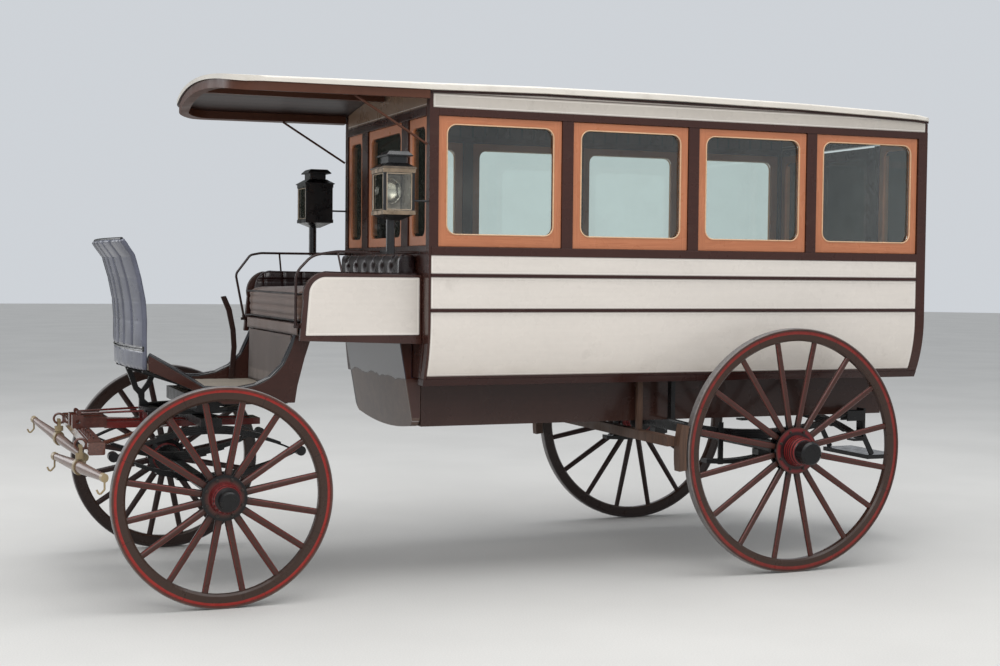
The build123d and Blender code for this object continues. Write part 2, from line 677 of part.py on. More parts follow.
# side, corners of the rail in x and z, their radii
rail_lines = [(1, [(-384, 1283), (-385, 1535), (-464, 1618), (-584, 1637.5)], [90, 110, 200]),
              (-1, [(-392, 1283), (-346, 1521), (-427, 1627), (-485, 1638)], [40, 35, 100])]
with BuildPart() as seat_rails:
    for s, pts, rr in rail_lines:
        with BuildLine() as rail_line:
            FilletPolyline(*[(ax(x), s * rail_y, z) for x, z in pts],
                           (wall_x + 4, s * rail_y, pts[-1][1]), radius=rr)
        with BuildSketch(Plane(origin=rail_line.line @ 0, z_dir=rail_line.line % 0)):
            Circle(6.5)
        sweep(path=rail_line.line)
        # collar at the foot, and a stay from the rail down to the arm
        with BuildSketch(Plane(origin=rail_line.line @ 0, z_dir=rail_line.line % 0)):
            Circle(9.0)
        extrude(amount=14.0)
        block(ax(-411.5), ax(-376), s * rail_y - 8, s * rail_y + 8, 1270.0, 1284.0)
        with BuildLine() as stay_line:
            Line((ax(-589), s * rail_y, 1636.0), (ax(-604), s * (rail_y + 24), 1537.5))
        with BuildSketch(Plane(origin=stay_line.line @ 0, z_dir=stay_line.line % 0)):
            Circle(5.0)
        sweep(path=stay_line.line)
save(seat_rails, "seat_rails")

# lamps: square body, two-tier roof, tapered foot on a post, and a rod back to the corner post
lamp_x, lamp_y, lamp_z0, lamp_z1 = ax(-825), 732.0, 1813.0, 2030.0
lamp_hx, lamp_hy, band_h = 80.0, 98.0, 19.0


def slab(xc, yc, z0, z1, w0, d0, w1, d1):
    """a block that tapers from one rectangle to another"""
    with BuildSketch(Plane(origin=(xc, yc, z0))) as lower:
        Rectangle(w0, d0)
    with BuildSketch(Plane(origin=(xc, yc, z1))) as upper:
        Rectangle(w1, d1)
    loft([lower.sketch, upper.sketch])


with BuildPart() as lamps:
    for side in (1, -1):
        yc = side * lamp_y
        block(lamp_x - lamp_hx, lamp_x + lamp_hx, yc - lamp_hy, yc + lamp_hy, lamp_z0,
              lamp_z0 + band_h)
        block(lamp_x - lamp_hx, lamp_x + lamp_hx, yc - lamp_hy, yc + lamp_hy, lamp_z1 - band_h,
              lamp_z1)
        for dx in (-70, 70):
            for dy in (-88, 88):
                block(lamp_x + dx - 7, lamp_x + dx + 7, yc + dy - 7, yc + dy + 7,
                      lamp_z0 + band_h, lamp_z1 - band_h)
        # rear plate and inner plate
        block(lamp_x - 76, lamp_x - 70, yc - 81, yc + 81, lamp_z0 + band_h, lamp_z1 - band_h)
        block(lamp_x - 63, lamp_x + 63, yc - side * 88 - 4, yc - side * 88 + 4,
              lamp_z0 + band_h, lamp_z1 - band_h)
        slab(lamp_x, yc, lamp_z1, lamp_z1 + 6, 172, 208, 172, 208)
        slab(lamp_x, yc, lamp_z1 + 6, lamp_z1 + 28, 168, 204, 100, 136)
        slab(lamp_x, yc, lamp_z1 + 28, lamp_z1 + 60, 90, 124, 90, 124)
        slab(lamp_x - 6, yc, lamp_z1 + 60, lamp_z1 + 66, 132, 164, 132, 164)
        slab(lamp_x - 6, yc, lamp_z1 + 66, lamp_z1 + 84, 130, 162, 96, 130)
        slab(lamp_x, yc, lamp_z0 - 26, lamp_z0, 48, 56, 146, 182)
        with BuildSketch(Plane(origin=(ax(-812), yc, 1629.0))):
            Circle(21)
        extrude(amount=lamp_z0 - 20 - 1629.0)
        # bracket in to the seat rail
        ya, yb = sorted((side * 607.0, side * 742.0))
        block(ax(-826), ax(-798), ya, yb, 1629.0, 1646.0)
        # knob on the back, and the rod to the corner post
        with BuildSketch(Plane(origin=(lamp_x - lamp_hx, yc, 1884.0), x_dir=(0, 1, 0),
                               z_dir=(-1, 0, 0))):
            Circle(5.0)
        extrude(amount=lamp_x - lamp_hx - wall_x - 0.3)
        with BuildSketch(Plane(origin=(lamp_x - 76, yc, 1926.0), x_dir=(0, 1, 0),
                               z_dir=(-1, 0, 0))):
            Circle(11.0)
        extrude(amount=22.0)
save(lamps, "lamps")

with BuildPart() as lamp_glass:
    for side in (1, -1):
        yc = side * lamp_y
        block(lamp_x + 68, lamp_x + 71, yc - 80.5, yc + 80.5, lamp_z0 + band_h + 0.5,
              lamp_z1 - band_h - 0.5)
        block(lamp_x - 62.5, lamp_x + 62.5, yc + side * 88 - 1.5, yc + side * 88 + 1.5,
              lamp_z0 + band_h + 0.5, lamp_z1 - band_h - 0.5)
save(lamp_glass, "lamp_glass")

with BuildPart() as brake_lever:
    # on the right side of the footboard
    with BuildSketch(Plane.XZ.offset(455.0)):
        with BuildLine():
            Polyline((ax(-274), 959), (ax(-306), 959), (ax(-313), 1043), (ax(-321), 1129),
                     (ax(-315), 1223), (ax(-293), 1334), (ax(-262), 1405), (ax(-233), 1400),
                     (ax(-264), 1324), (ax(-286), 1219), (ax(-292), 1129), (ax(-285), 1043),
                     close=True)
        make_face()
    extrude(amount=-12)
save(brake_lever, "brake_lever")

# ---------------------------------------------------------------------------
# Turntable on the body
# ---------------------------------------------------------------------------
with BuildPart() as upper_fifth_wheel:
    with BuildSketch(Plane.XY.offset(ring_z + 0.5)):
        with Locations((ax(0), 0)):
            Circle(ring_ro)
            Circle(ring_ri, mode=Mode.SUBTRACT)
    extrude(amount=12.5)
    with BuildSketch(Plane.XY.offset(ring_z + 13)):
        with Locations((ax(0), 0)):
            Rectangle(110, 2 * 440)
            Circle(king_r + 0.5, mode=Mode.SUBTRACT)
    extrude(amount=929.5 - ring_z - 13)
    # perches that carry the boot
    for s in (1, -1):
        block(ax(-415), ax(-40), s * 300 - 22, s * 300 + 22, 886.0, 929.5)
    # forked iron from the front of the ring up to the footboard
    with BuildSketch(Plane.XZ.offset(-12.0)):
        with BuildLine():
            Polyline((ax(215), ring_z + 12), (ax(215), ring_z + 26), (ax(236), ring_z + 46),
                     (ax(236), 930), (ax(206), 964), (ax(180), 1024), (ax(204), 1034),
                     (ax(226), 980), (ax(250), 947), (ax(266), 960), (ax(309), 1076),
                     (ax(333), 1067), (ax(288), 944), (ax(268), 922), (ax(262), ring_z + 46),
                     (ax(262), ring_z + 12), close=True)
        make_face()
    extrude(amount=24.0)
save(upper_fifth_wheel, "upper_fifth_wheel")

# ---------------------------------------------------------------------------
# Rear running gear, carried by the body
# ---------------------------------------------------------------------------
rear_x = ax(-wheelbase)
rear_track_in = rear_face_y - tyre_w / 2 - 112.0      # inner end of the rear hub
with BuildPart() as rear_axle:
    block(rear_x - 26, rear_x + 26, -rear_track_in + 22, rear_track_in - 22,
          rear_r - 28, rear_r + 28)
    for s in (1, -1):
        arm_plane = Plane(origin=(rear_x, s * (rear_track_in - 22), rear_r), x_dir=(1, 0, 0),
                          z_dir=(0, s, 0))
        with BuildSketch(arm_plane):
            Circle(48)
        extrude(amount=16)
        with BuildSketch(arm_plane.offset(16)):
            Circle(arm_r["rear"])
        extrude(amount=6 + 112 + bore_out["rear"] - 8)
save(rear_axle, "rear_axle")


def bow(x0, z0, x1, z1, xm, zm, t, y0, y1):
    """a leaf: an arc band of thickness t between two ends, from y0 to y1"""
    with BuildSketch(Plane.XZ.offset(-y1)) as section:
        with BuildLine():
            ThreePointArc((x0, z0), (xm, zm), (x1, z1))
            Line((x1, z1), (x1, z1 + t))
            ThreePointArc((x1, z1 + t), (xm, zm + t), (x0, z0 + t))
            Line((x0, z0 + t), (x0, z0))
        make_face()
    extrude(section.sketch, amount=y1 - y0)


spring_w = 54.0
with BuildPart() as rear_springs:
    # half length, leaf number
    y0, y1 = rear_spring_y - spring_w / 2, rear_spring_y + spring_w / 2
    for k in range(5):
        half = 560.0 - 105.0 * k
        sag = 78.0 * (half / 560.0) ** 2
        base = rear_r + 30 + 9.5 * (4 - k)
        bow(rear_x - half, base + sag, rear_x + half, base + sag, rear_x, base, 9.0, y0, y1)
    block(rear_x - 40, rear_x + 40, y0 - 6, y1 + 6, rear_r + 28, rear_r + 32)
    # front shackle to the sill, and its plate down to the tie bar under the axle
    xs = rear_x + 548.0
    block(xs - 12, xs + 12, rear_spring_y - 20, rear_spring_y + 20, 785.0, sill_z0 - 0.5)
    block(ax(-2700), ax(-2672), rear_spring_y + 28, rear_spring_y + 40, 536.0, 760.0)
    bow(ax(-3010), 570.0, ax(-2600), 545.0, ax(-2800), 540.0, 22.0, rear_spring_y - 24,
        rear_spring_y + 40)
    block(rear_x - 34, rear_x + 34, rear_spring_y - 33, rear_spring_y + 33, 564.0, rear_r - 28)
    # D-link from the rear end of the side spring down to the cross spring
    xs = rear_x - 548.0
    block(ax(-3600), xs + 20, rear_spring_y - 34, rear_spring_y - 26, 744.0, 800.0)
    block(ax(-3600), xs + 20, rear_spring_y + 26, rear_spring_y + 34, 744.0, 800.0)
    block(ax(-3600), ax(-3588), rear_spring_y - 34, rear_spring_y + 34, 632.0, 812.0)
    block(ax(-3600), ax(-3527), rear_spring_y - 34, rear_spring_y + 34, 632.0, 644.0)
    mirror(about=Plane.XZ)
save(rear_springs, "rear_springs")

with BuildPart() as rear_cross_spring:
    # arched up to the well
    for k in range(4):
        half = 640.0 - 120.0 * k
        drop = 105.0 * (half / 640.0) ** 2
        top = 760.0 - 9.5 * k
        with BuildSketch(Plane.YZ.offset(ax(-3585))):
            with BuildLine():
                ThreePointArc((-half, top - drop), (0, top), (half, top - drop))
                Line((half, top - drop), (half, top - drop - 9))
                ThreePointArc((half, top - drop - 9), (0, top - 9), (-half, top - drop - 9))
                Line((-half, top - drop - 9), (-half, top - drop))
            make_face()
        extrude(amount=54.0)
    block(ax(-3595), ax(-3521), -40.0, 40.0, 722.0, well_z0 - 0.5)
save(rear_cross_spring, "rear_cross_spring")

shoe_r0, shoe_r1 = rear_r + 9.0, rear_r + 52.0
with BuildPart() as brake_gear:
    # shoes concentric with the rear wheels, on a beam across
    with BuildSketch(Plane.XZ.offset(-948.0)):
        with BuildLine():
            a0, a1 = radians(-7), radians(13)
            am = (a0 + a1) / 2
            p = [(rear_x + r * cos(a), rear_r + r * sin(a)) for r, a in
                 [(shoe_r0, a0), (shoe_r0, am), (shoe_r0, a1), (shoe_r1, a1), (shoe_r1, am),
                  (shoe_r1, a0)]]
            ThreePointArc(p[0], p[1], p[2])
            Line(p[2], p[3])
            ThreePointArc(p[3], p[4], p[5])
            Line(p[5], p[0])
        make_face()
    extrude(amount=56.0)
    mirror(about=Plane.XZ)
    block(ax(-2272), ax(-2222), -905.0, 905.0, 676.0, 726.0)
    for s in (1, -1):
        block(ax(-2262), ax(-2232), s * 540 - 12, s * 540 + 12, 726.0, sill_z0 - 0.5)
save(brake_gear, "brake_gear")

with BuildPart() as rear_step:
    block(ax(-4110), ax(-3905), -230.0, 230.0, 470.0, 495.0)
    for s in (1, -1):
        with BuildLine() as hanger_line:
            FilletPolyline((ax(-3872), s * 215, 769.0), (ax(-3872), s * 215, 630.0),
                           (ax(-3945), s * 215, 495.0), radius=40)
        with BuildSketch(Plane(origin=hanger_line.line @ 0, z_dir=hanger_line.line % 0)):
            Rectangle(30, 12)
        sweep(path=hanger_line.line)
save(rear_step, "rear_step")

# ---------------------------------------------------------------------------
# Front gear, which turns about the king pin
# ---------------------------------------------------------------------------
front_track_in = front_face_y - tyre_w / 2 - 98.0
with BuildPart() as front_axle:
    block(ax(-24), ax(24), -front_track_in + 22, front_track_in - 22, front_r - 25, front_r + 25)
    for s in (1, -1):
        arm_plane = Plane(origin=(ax(0), s * (front_track_in - 22), front_r), x_dir=(1, 0, 0),
                          z_dir=(0, s, 0))
        with BuildSketch(arm_plane):
            Circle(42)
        extrude(amount=16)
        with BuildSketch(arm_plane.offset(16)):
            Circle(arm_r["front"])
        extrude(amount=6 + 98 + bore_out["front"] - 8)
save(front_axle, "front_axle")

with BuildPart() as front_springs:
    y0, y1 = front_spring_y - spring_w / 2, front_spring_y + spring_w / 2
    eye_z = 670.0
    for k in range(4):
        half = 440.0 - 95.0 * k
        sag = 108.0 * (half / 440.0) ** 2
        base = front_r + 27 + 9.5 * (3 - k)
        top = 800.0 - 9.5 * (3 - k)
        bow(ax(-half), base + sag, ax(half), base + sag, ax(0), base, 9.0, y0, y1)
        bow(ax(-half), top - sag - 9, ax(half), top - sag - 9, ax(0), top - 9, 9.0, y0, y1)
    for s in (1, -1):
        with BuildSketch(Plane.XZ.offset(-y1)):
            with Locations((ax(s * 446), (front_r + 27 + 28.5 + 108 + 800 - 28.5 - 108) / 2)):
                Circle(24)
        extrude(amount=spring_w)
    block(ax(-36), ax(36), y0 - 6, y1 + 6, front_r + 25, front_r + 30)
    mirror(about=Plane.XZ)
save(front_springs, "front_springs")

with BuildPart() as lower_fifth_wheel:
    with BuildSketch(Plane.XY.offset(ring_z - 0.5)):
        with Locations((ax(0), 0)):
            Circle(ring_ro)
            Circle(ring_ri, mode=Mode.SUBTRACT)
    extrude(amount=-12)
    # bolster over the springs, and the king pin
    block(ax(-50), ax(50), -520.0, 520.0, 800.5, ring_z - 12.5)
    with BuildSketch(Plane.XY.offset(ring_z - 12.5)):
        with Locations((ax(0), 0)):
            Circle(king_r)
    extrude(amount=70)
save(lower_fifth_wheel, "lower_fifth_wheel")

pole_gap = 45.0
pin_x, pin_z, pin_r = 566.0, 800.0, 11.0
with BuildPart() as futchells:
    for s in (1, -1):
        ya, yb = sorted((s * pole_gap, s * (pole_gap + 40)))
        block(ax(-330), ax(440), ya, yb, 764.0, 796.0)
        # sleeve, and the jaw for the pole with its packing on the splinter bar
        block(ax(430), ax(542), ya, yb + (3 if s > 0 else 0), 768.5, 820.0)
        ya, yb = sorted((s * pole_gap, s * (pole_gap + 52)))
        block(ax(540), ax(593), ya, yb, 769.0, 832.0)
        # posts up to the ring
        block(ax(232), ax(252), s * 66 - 9, s * 66 + 9, 796.0, ring_z - 12.5)
        # eye on top of the jaw, and the rod from it back to the ring
        with BuildSketch(Plane.XZ.offset(-s * 60 - 14)):
            with Locations((ax(560), 842.0)):
                Circle(12.0)
        extrude(amount=28.0)
        with BuildLine() as rod_line:
            Line((ax(552), s * 62, 838.0), (ax(253), s * 92, 846.0))
        with BuildSketch(Plane(origin=rod_line.line @ 0, z_dir=rod_line.line % 0)):
            Circle(5.5)
        sweep(path=rod_line.line)
    block(ax(-330), ax(-290), -pole_gap, pole_gap, 764.0, 796.0)
    # hole for the pole pin, through both jaws
    with BuildSketch(Plane.XZ.offset(-(pole_gap + 60))):
        with Locations((ax(pin_x), pin_z)):
            Circle(pin_r)
    extrude(amount=2 * (pole_gap + 60), mode=Mode.SUBTRACT)
save(futchells, "futchells")

# the splinter bar sits lower on the left; its middle, slope, and the rings for the singletrees
bar_x, bar_z, bar_tilt = 538.0, 739.0, radians(1.43)
bar_plane = Plane(origin=(ax(bar_x), 0, bar_z), x_dir=(1, 0, 0),
                  z_dir=(0, cos(bar_tilt), -sin(bar_tilt)))
ring_x = 600.0
eye_r, eye_t = 25.5, 6.0
eye_z = {1: 736.0, -1: 762.0}
with BuildPart() as splinter_bar:
    with BuildSketch(bar_plane):
        RectangleRounded(70.0, 52.0, 6.0)
    extrude(amount=600.0, both=True)
    # end bands, and plates with bolts on the top, beside the jaws
    for a0 in (-603.0, 571.0):
        with BuildSketch(bar_plane.offset(a0)):
            RectangleRounded(76.0, 58.0, 8.0)
        extrude(amount=32.0)
    for s in (1, -1):
        with BuildSketch(bar_plane.offset(s * 300.0 - 190.0)):
            with Locations((0, -28.5)):
                Rectangle(56.0, 6.0)
        extrude(amount=380.0)
        for c in (150.0, 250.0, 350.0, 450.0):
            top = bar_plane.from_local_coords(Vector(8.0, -30.0, s * c))
            with BuildSketch(Plane(origin=top, x_dir=(1, 0, 0), z_dir=(0, 0, 1))):
                RegularPolygon(11.0, 6)
            extrude(amount=9.0)
        # ring through a staple on the front
        with BuildSketch(Plane(origin=(ax(ring_x + eye_r), s * 500.0, eye_z[s]),
                               x_dir=(1, 0, 0), z_dir=(0, 0, 1))):
            Circle(eye_t)
        revolve(axis=Axis((ax(ring_x), s * 500.0, eye_z[s]), (0, 1, 0)), revolution_arc=360)
        block(ax(570), ax(579), s * 500.0 - 14, s * 500.0 + 14, eye_z[s] - 22, eye_z[s] + 12)
        # stays from the futchells out to the bar's ends
        with BuildLine() as stay_line:
            Line((ax(150), s * 96.0, 780.0), (ax(508), s * 548.0, 742.0 if s > 0 else 756.0))
        with BuildSketch(Plane(origin=stay_line.line @ 0, z_dir=stay_line.line % 0)):
            Circle(11.0)
        sweep(path=stay_line.line)
save(splinter_bar, "splinter_bar")

# singletrees: side, outer end and inner end of the bar
tree_table = [("left", 1, (536.0, 850.0, 624.0), (680.0, 150.0, 643.0)),
              ("right", -1, (695.0, -850.0, 725.0), (508.0, -150.0, 597.0))]
for word, s, outer, inner in tree_table:
    outer, inner = Vector(ax(outer[0]), *outer[1:]), Vector(ax(inner[0]), *inner[1:])
    mid = (outer + inner) * 0.5
    d = (outer - inner).normalized()
    half = (outer - inner).length / 2
    px, zr = ax(ring_x), eye_z[s]
    with BuildPart() as tree:
        for sgn in (1, -1):
            with BuildSketch(Plane(origin=mid, x_dir=(1, 0, 0), z_dir=d * sgn)):
                Ellipse(23, 30)
            with BuildSketch(Plane(origin=mid + d * (sgn * half), x_dir=(1, 0, 0),
                                   z_dir=d * sgn)):
                Ellipse(14, 17)
            loft()
    save(tree, f"singletree_{word}")
    with BuildPart() as irons:
        # band round the middle, fork and pin through the ring
        with BuildSketch(Plane(origin=mid - d * 13, x_dir=(1, 0, 0), z_dir=d)):
            Ellipse(28.0, 38.5)
            Ellipse(23.3, 30.3, mode=Mode.SUBTRACT)
        extrude(amount=26.0)
        pin = zr - eye_r + 2 * eye_t + 2
        # round boss on the swivel's axis
        with BuildSketch(Plane(origin=(px, s * 500.0, mid.Z + 36.5))):
            Circle(22.0)
        extrude(amount=zr - eye_r - 14 - mid.Z - 36.5)
        for side in (1, -1):
            ya, yb = sorted((s * 500.0 + side * 18, s * 500.0 + side * 22))
            block(px - 8, px + 8, ya, yb, mid.Z + 40, pin + 10)
        with BuildSketch(Plane.XZ.offset(-s * 500.0 - 26)):
            with Locations((px, pin)):
                Circle(5.0)
        extrude(amount=52.0)
        for sgn in (1, -1):
            tip = mid + d * (sgn * half)
            with BuildSketch(Plane(origin=tip - d * (sgn * 20), x_dir=(1, 0, 0), z_dir=d * sgn)):
                Ellipse(17, 20)
                Ellipse(14.9, 17.9, mode=Mode.SUBTRACT)
            extrude(amount=20)
            with BuildSketch(Plane(origin=tip, x_dir=(1, 0, 0), z_dir=d * sgn)):
                Ellipse(17, 20)
            extrude(amount=11)
            # hanging hook
            hook = tip + d * (sgn * 6) + Vector(0, 0, -17)
            with BuildLine() as hook_line:
                FilletPolyline(hook, hook + Vector(0, 0, -34), hook + Vector(22, 0, -58),
                               hook + Vector(34, 0, -34), radius=8)
            with BuildSketch(Plane(origin=hook_line.line @ 0, z_dir=hook_line.line % 0)):
                Circle(4.5)
            sweep(path=hook_line.line)
    save(irons, f"singletree_irons_{word}")

# ---------------------------------------------------------------------------
# Rear door
# ---------------------------------------------------------------------------
with BuildPart() as rear_door:
    block(tail_x + 2, tail_x + 36, -door_half, door_half, door_z0, door_z1)
    with BuildSketch(Plane.YZ.offset(tail_x + 2)):
        with Locations((0, (belt_z1 + 60 + door_z1 - 60) / 2)):
            RectangleRounded(2 * door_half - 150, door_z1 - belt_z1 - 120, 45)
    extrude(amount=34, mode=Mode.SUBTRACT)
    # moving leaves and knuckles of the hinges
    for zc in hinge_z:
        block(tail_x - 4, tail_x + 2, -hinge_y + 8, -hinge_y + 44, zc - 45, zc + 45)
        block(hinge_x - 2, hinge_x + 7, -hinge_y + 3, -hinge_y + 8, zc - 20, zc + 20)
        with BuildSketch(Plane(origin=(hinge_x, -hinge_y, zc - 20))):
            Circle(7.0)
        extrude(amount=40.0)
save(rear_door, "rear_door")

with BuildPart() as rear_door_glass:
    with BuildSketch(Plane.YZ.offset(tail_x + 16)):
        with Locations((0, (belt_z1 + 60 + door_z1 - 60) / 2)):
            RectangleRounded(2 * door_half - 150.6, door_z1 - belt_z1 - 120.6, 44.7)
    extrude(amount=5)
save(rear_door_glass, "rear_door_glass")

with BuildPart() as rear_door_handle:
    with BuildSketch(Plane.YZ.offset(tail_x + 2)):
        with Locations((door_half - 45, 1480.0)):
            Circle(16)
    extrude(amount=-30)
    block(tail_x - 40, tail_x - 28, door_half - 125, door_half - 33, 1471.0, 1489.0)
save(rear_door_handle, "rear_door_handle")
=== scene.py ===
import json
import math
import bpy
import bmesh
import numpy as np
from mathutils import Vector, Matrix
from mathutils.bvhtree import BVHTree

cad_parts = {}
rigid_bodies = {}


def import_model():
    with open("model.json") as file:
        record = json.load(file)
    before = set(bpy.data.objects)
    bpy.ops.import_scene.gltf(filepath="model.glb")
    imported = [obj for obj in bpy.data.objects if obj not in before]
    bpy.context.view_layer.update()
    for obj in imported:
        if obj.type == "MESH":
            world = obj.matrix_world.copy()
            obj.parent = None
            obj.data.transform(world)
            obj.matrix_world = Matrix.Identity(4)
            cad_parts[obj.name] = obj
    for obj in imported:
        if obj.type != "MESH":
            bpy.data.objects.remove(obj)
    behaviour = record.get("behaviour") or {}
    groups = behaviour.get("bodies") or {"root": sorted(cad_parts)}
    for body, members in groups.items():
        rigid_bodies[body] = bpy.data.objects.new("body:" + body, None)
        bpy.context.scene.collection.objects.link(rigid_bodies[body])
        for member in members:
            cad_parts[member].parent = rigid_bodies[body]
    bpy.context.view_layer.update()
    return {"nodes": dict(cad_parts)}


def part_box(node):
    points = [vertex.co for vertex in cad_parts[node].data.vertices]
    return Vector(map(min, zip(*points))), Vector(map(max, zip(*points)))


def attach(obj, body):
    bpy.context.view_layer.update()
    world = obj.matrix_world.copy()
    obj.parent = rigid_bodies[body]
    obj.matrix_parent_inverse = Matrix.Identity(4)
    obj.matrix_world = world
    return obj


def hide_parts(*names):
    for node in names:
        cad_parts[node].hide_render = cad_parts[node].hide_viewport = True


for stray in list(bpy.data.objects):
    bpy.data.objects.remove(stray)

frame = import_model()
NODES = frame["nodes"]

# the front axle is where the front wheels' middle is; lengths below are given from it in mm
_lo, _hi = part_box("tyre_front_left")
FX = (_lo.x + _hi.x) / 2


def X(v):
    return FX + v / 1000.0


def M(v):
    return v / 1000.0


def V(x, y, z):
    """a point from lengths in mm, x measured from the front axle"""
    return Vector((X(x), y / 1000.0, z / 1000.0))


def lin(r, g, b):
    """linear colour from display values 0-255"""
    def f(c):
        c /= 255.0
        return c / 12.92 if c <= 0.04045 else ((c + 0.055) / 1.055) ** 2.4
    return (f(r), f(g), f(b), 1.0)


# ---------------------------------------------------------------------------
# material graphs
# ---------------------------------------------------------------------------
class Graph:
    """a material whose nodes read the rest-frame position in metres"""

    def __init__(self, name):
        self.mat = bpy.data.materials.new(name)
        self.mat.use_nodes = True
        self.t = self.mat.node_tree
        self.t.nodes.clear()
        self.out = self.add("ShaderNodeOutputMaterial")
        self.b = self.add("ShaderNodeBsdfPrincipled")
        self.t.links.new(self.b.outputs[0], self.out.inputs[0])
        self.pos = self.add("ShaderNodeTexCoord").outputs["Object"]
        sep = self.add("ShaderNodeSeparateXYZ")
        self.t.links.new(self.pos, sep.inputs[0])
        self.x, self.y, self.z = sep.outputs
        self.bumped = None

    def add(self, kind, **props):
        n = self.t.nodes.new(kind)
        for k, v in props.items():
            setattr(n, k, v)
        return n

    def put(self, socket, value):
        if isinstance(value, bpy.types.NodeSocket):
            self.t.links.new(value, socket)
        else:
            socket.default_value = value

    def m(self, op, a, b=0.0, c=0.0, clamp=False):
        n = self.add("ShaderNodeMath", operation=op, use_clamp=clamp)
        self.put(n.inputs[0], a)
        self.put(n.inputs[1], b)
        self.put(n.inputs[2], c)
        return n.outputs[0]

    def vec(self, x, y, z):
        n = self.add("ShaderNodeCombineXYZ")
        for s, v in zip(n.inputs, (x, y, z)):
            self.put(s, v)
        return n.outputs[0]

    def map(self, scale=(1, 1, 1), rot=(0, 0, 0), loc=(0, 0, 0), v=None):
        n = self.add("ShaderNodeMapping")
        self.put(n.inputs["Vector"], v or self.pos)
        n.inputs["Scale"].default_value = scale
        n.inputs["Rotation"].default_value = rot
        n.inputs["Location"].default_value = loc
        return n.outputs[0]

    def noise(self, scale, detail=3.0, rough=0.5, v=None, dist=0.0):
        n = self.add("ShaderNodeTexNoise")
        self.put(n.inputs["Vector"], v or self.pos)
        n.inputs["Scale"].default_value = scale
        n.inputs["Detail"].default_value = detail
        n.inputs["Roughness"].default_value = rough
        n.inputs["Distortion"].default_value = dist
        return n.outputs["Fac"]

    def cells(self, scale, v=None, feature="F1", out="Distance", rand=1.0):
        n = self.add("ShaderNodeTexVoronoi", feature=feature)
        self.put(n.inputs["Vector"], v or self.pos)
        n.inputs["Scale"].default_value = scale
        n.inputs["Randomness"].default_value = rand
        return n.outputs[out]

    def ramp(self, fac, *stops):
        n = self.add("ShaderNodeValToRGB")
        self.put(n.inputs[0], fac)
        e = n.color_ramp.elements
        while len(e) < len(stops):
            e.new(0.5)
        for el, (p, c) in zip(e, stops):
            el.position = p
            el.color = c if len(c) == 4 else (*c, 1)
        return n.outputs[0]

    def mix(self, fac, a, b, kind="MIX"):
        n = self.add("ShaderNodeMix", data_type="RGBA", blend_type=kind)
        self.put(n.inputs[0], fac)
        self.put(n.inputs[6], a)
        self.put(n.inputs[7], b)
        return n.outputs[2]

    def fade(self, a, lo, hi, to0=0.0, to1=1.0):
        n = self.add("ShaderNodeMapRange", interpolation_type="SMOOTHSTEP")
        self.put(n.inputs[0], a)
        self.put(n.inputs[1], lo)
        self.put(n.inputs[2], hi)
        self.put(n.inputs[3], to0)
        self.put(n.inputs[4], to1)
        return n.outputs[0]

    def band(self, a, lo, hi, soft=0.0006):
        up = self.fade(a, lo - soft, lo + soft)
        down = self.fade(a, hi - soft, hi + soft, 1.0, 0.0)
        return self.m("MULTIPLY", up, down)

    def over(self, *masks):
        out = masks[0]
        for k in masks[1:]:
            out = self.m("MAXIMUM", out, k)
        return out

    def both(self, *masks):
        out = masks[0]
        for k in masks[1:]:
            out = self.m("MULTIPLY", out, k)
        return out

    def shade(self, colour, fac, amount, dark=0.0):
        """colour made lighter and darker by a noise"""
        low = self.fade(fac, 0.3, 0.7, 1.0 - amount - dark, 1.0 + amount)
        g = self.add("ShaderNodeCombineColor")
        for s in g.inputs:
            self.put(s, low)
        return self.mix(1.0, colour, g.outputs[0], "MULTIPLY")

    def bump(self, height, strength=0.3, dist=0.001):
        n = self.add("ShaderNodeBump")
        self.put(n.inputs["Height"], height)
        n.inputs["Strength"].default_value = strength
        n.inputs["Distance"].default_value = dist
        if self.bumped is not None:
            self.t.links.new(self.bumped, n.inputs["Normal"])
        self.bumped = n.outputs[0]
        return self.bumped

    def finish(self, base, rough=0.5, metal=0.0, coat=0.0, coat_rough=0.08, sheen=0.0,
               spec=0.5, trans=0.0, ior=1.45, alpha=1.0):
        b = self.b.inputs
        self.put(b["Base Color"], base)
        self.put(b["Roughness"], rough)
        self.put(b["Metallic"], metal)
        b["Coat Weight"].default_value = coat
        b["Coat Roughness"].default_value = coat_rough
        b["Sheen Weight"].default_value = sheen
        b["Specular IOR Level"].default_value = spec
        b["Transmission Weight"].default_value = trans
        b["IOR"].default_value = ior
        self.put(b["Alpha"], alpha)
        if self.bumped is not None:
            self.t.links.new(self.bumped, b["Normal"])
        return self.mat

    def normal_z(self):
        g = self.add("ShaderNodeNewGeometry")
        sep = self.add("ShaderNodeSeparateXYZ")
        self.t.links.new(g.outputs["True Normal"], sep.inputs[0])
        return sep.outputs


CREAM = lin(226, 218, 209)
BROWN = lin(62, 34, 27)
DARK = lin(24, 17, 16)
RED = lin(140, 36, 30)
SALMON = lin(194, 124, 86)
PALE = lin(232, 190, 150)


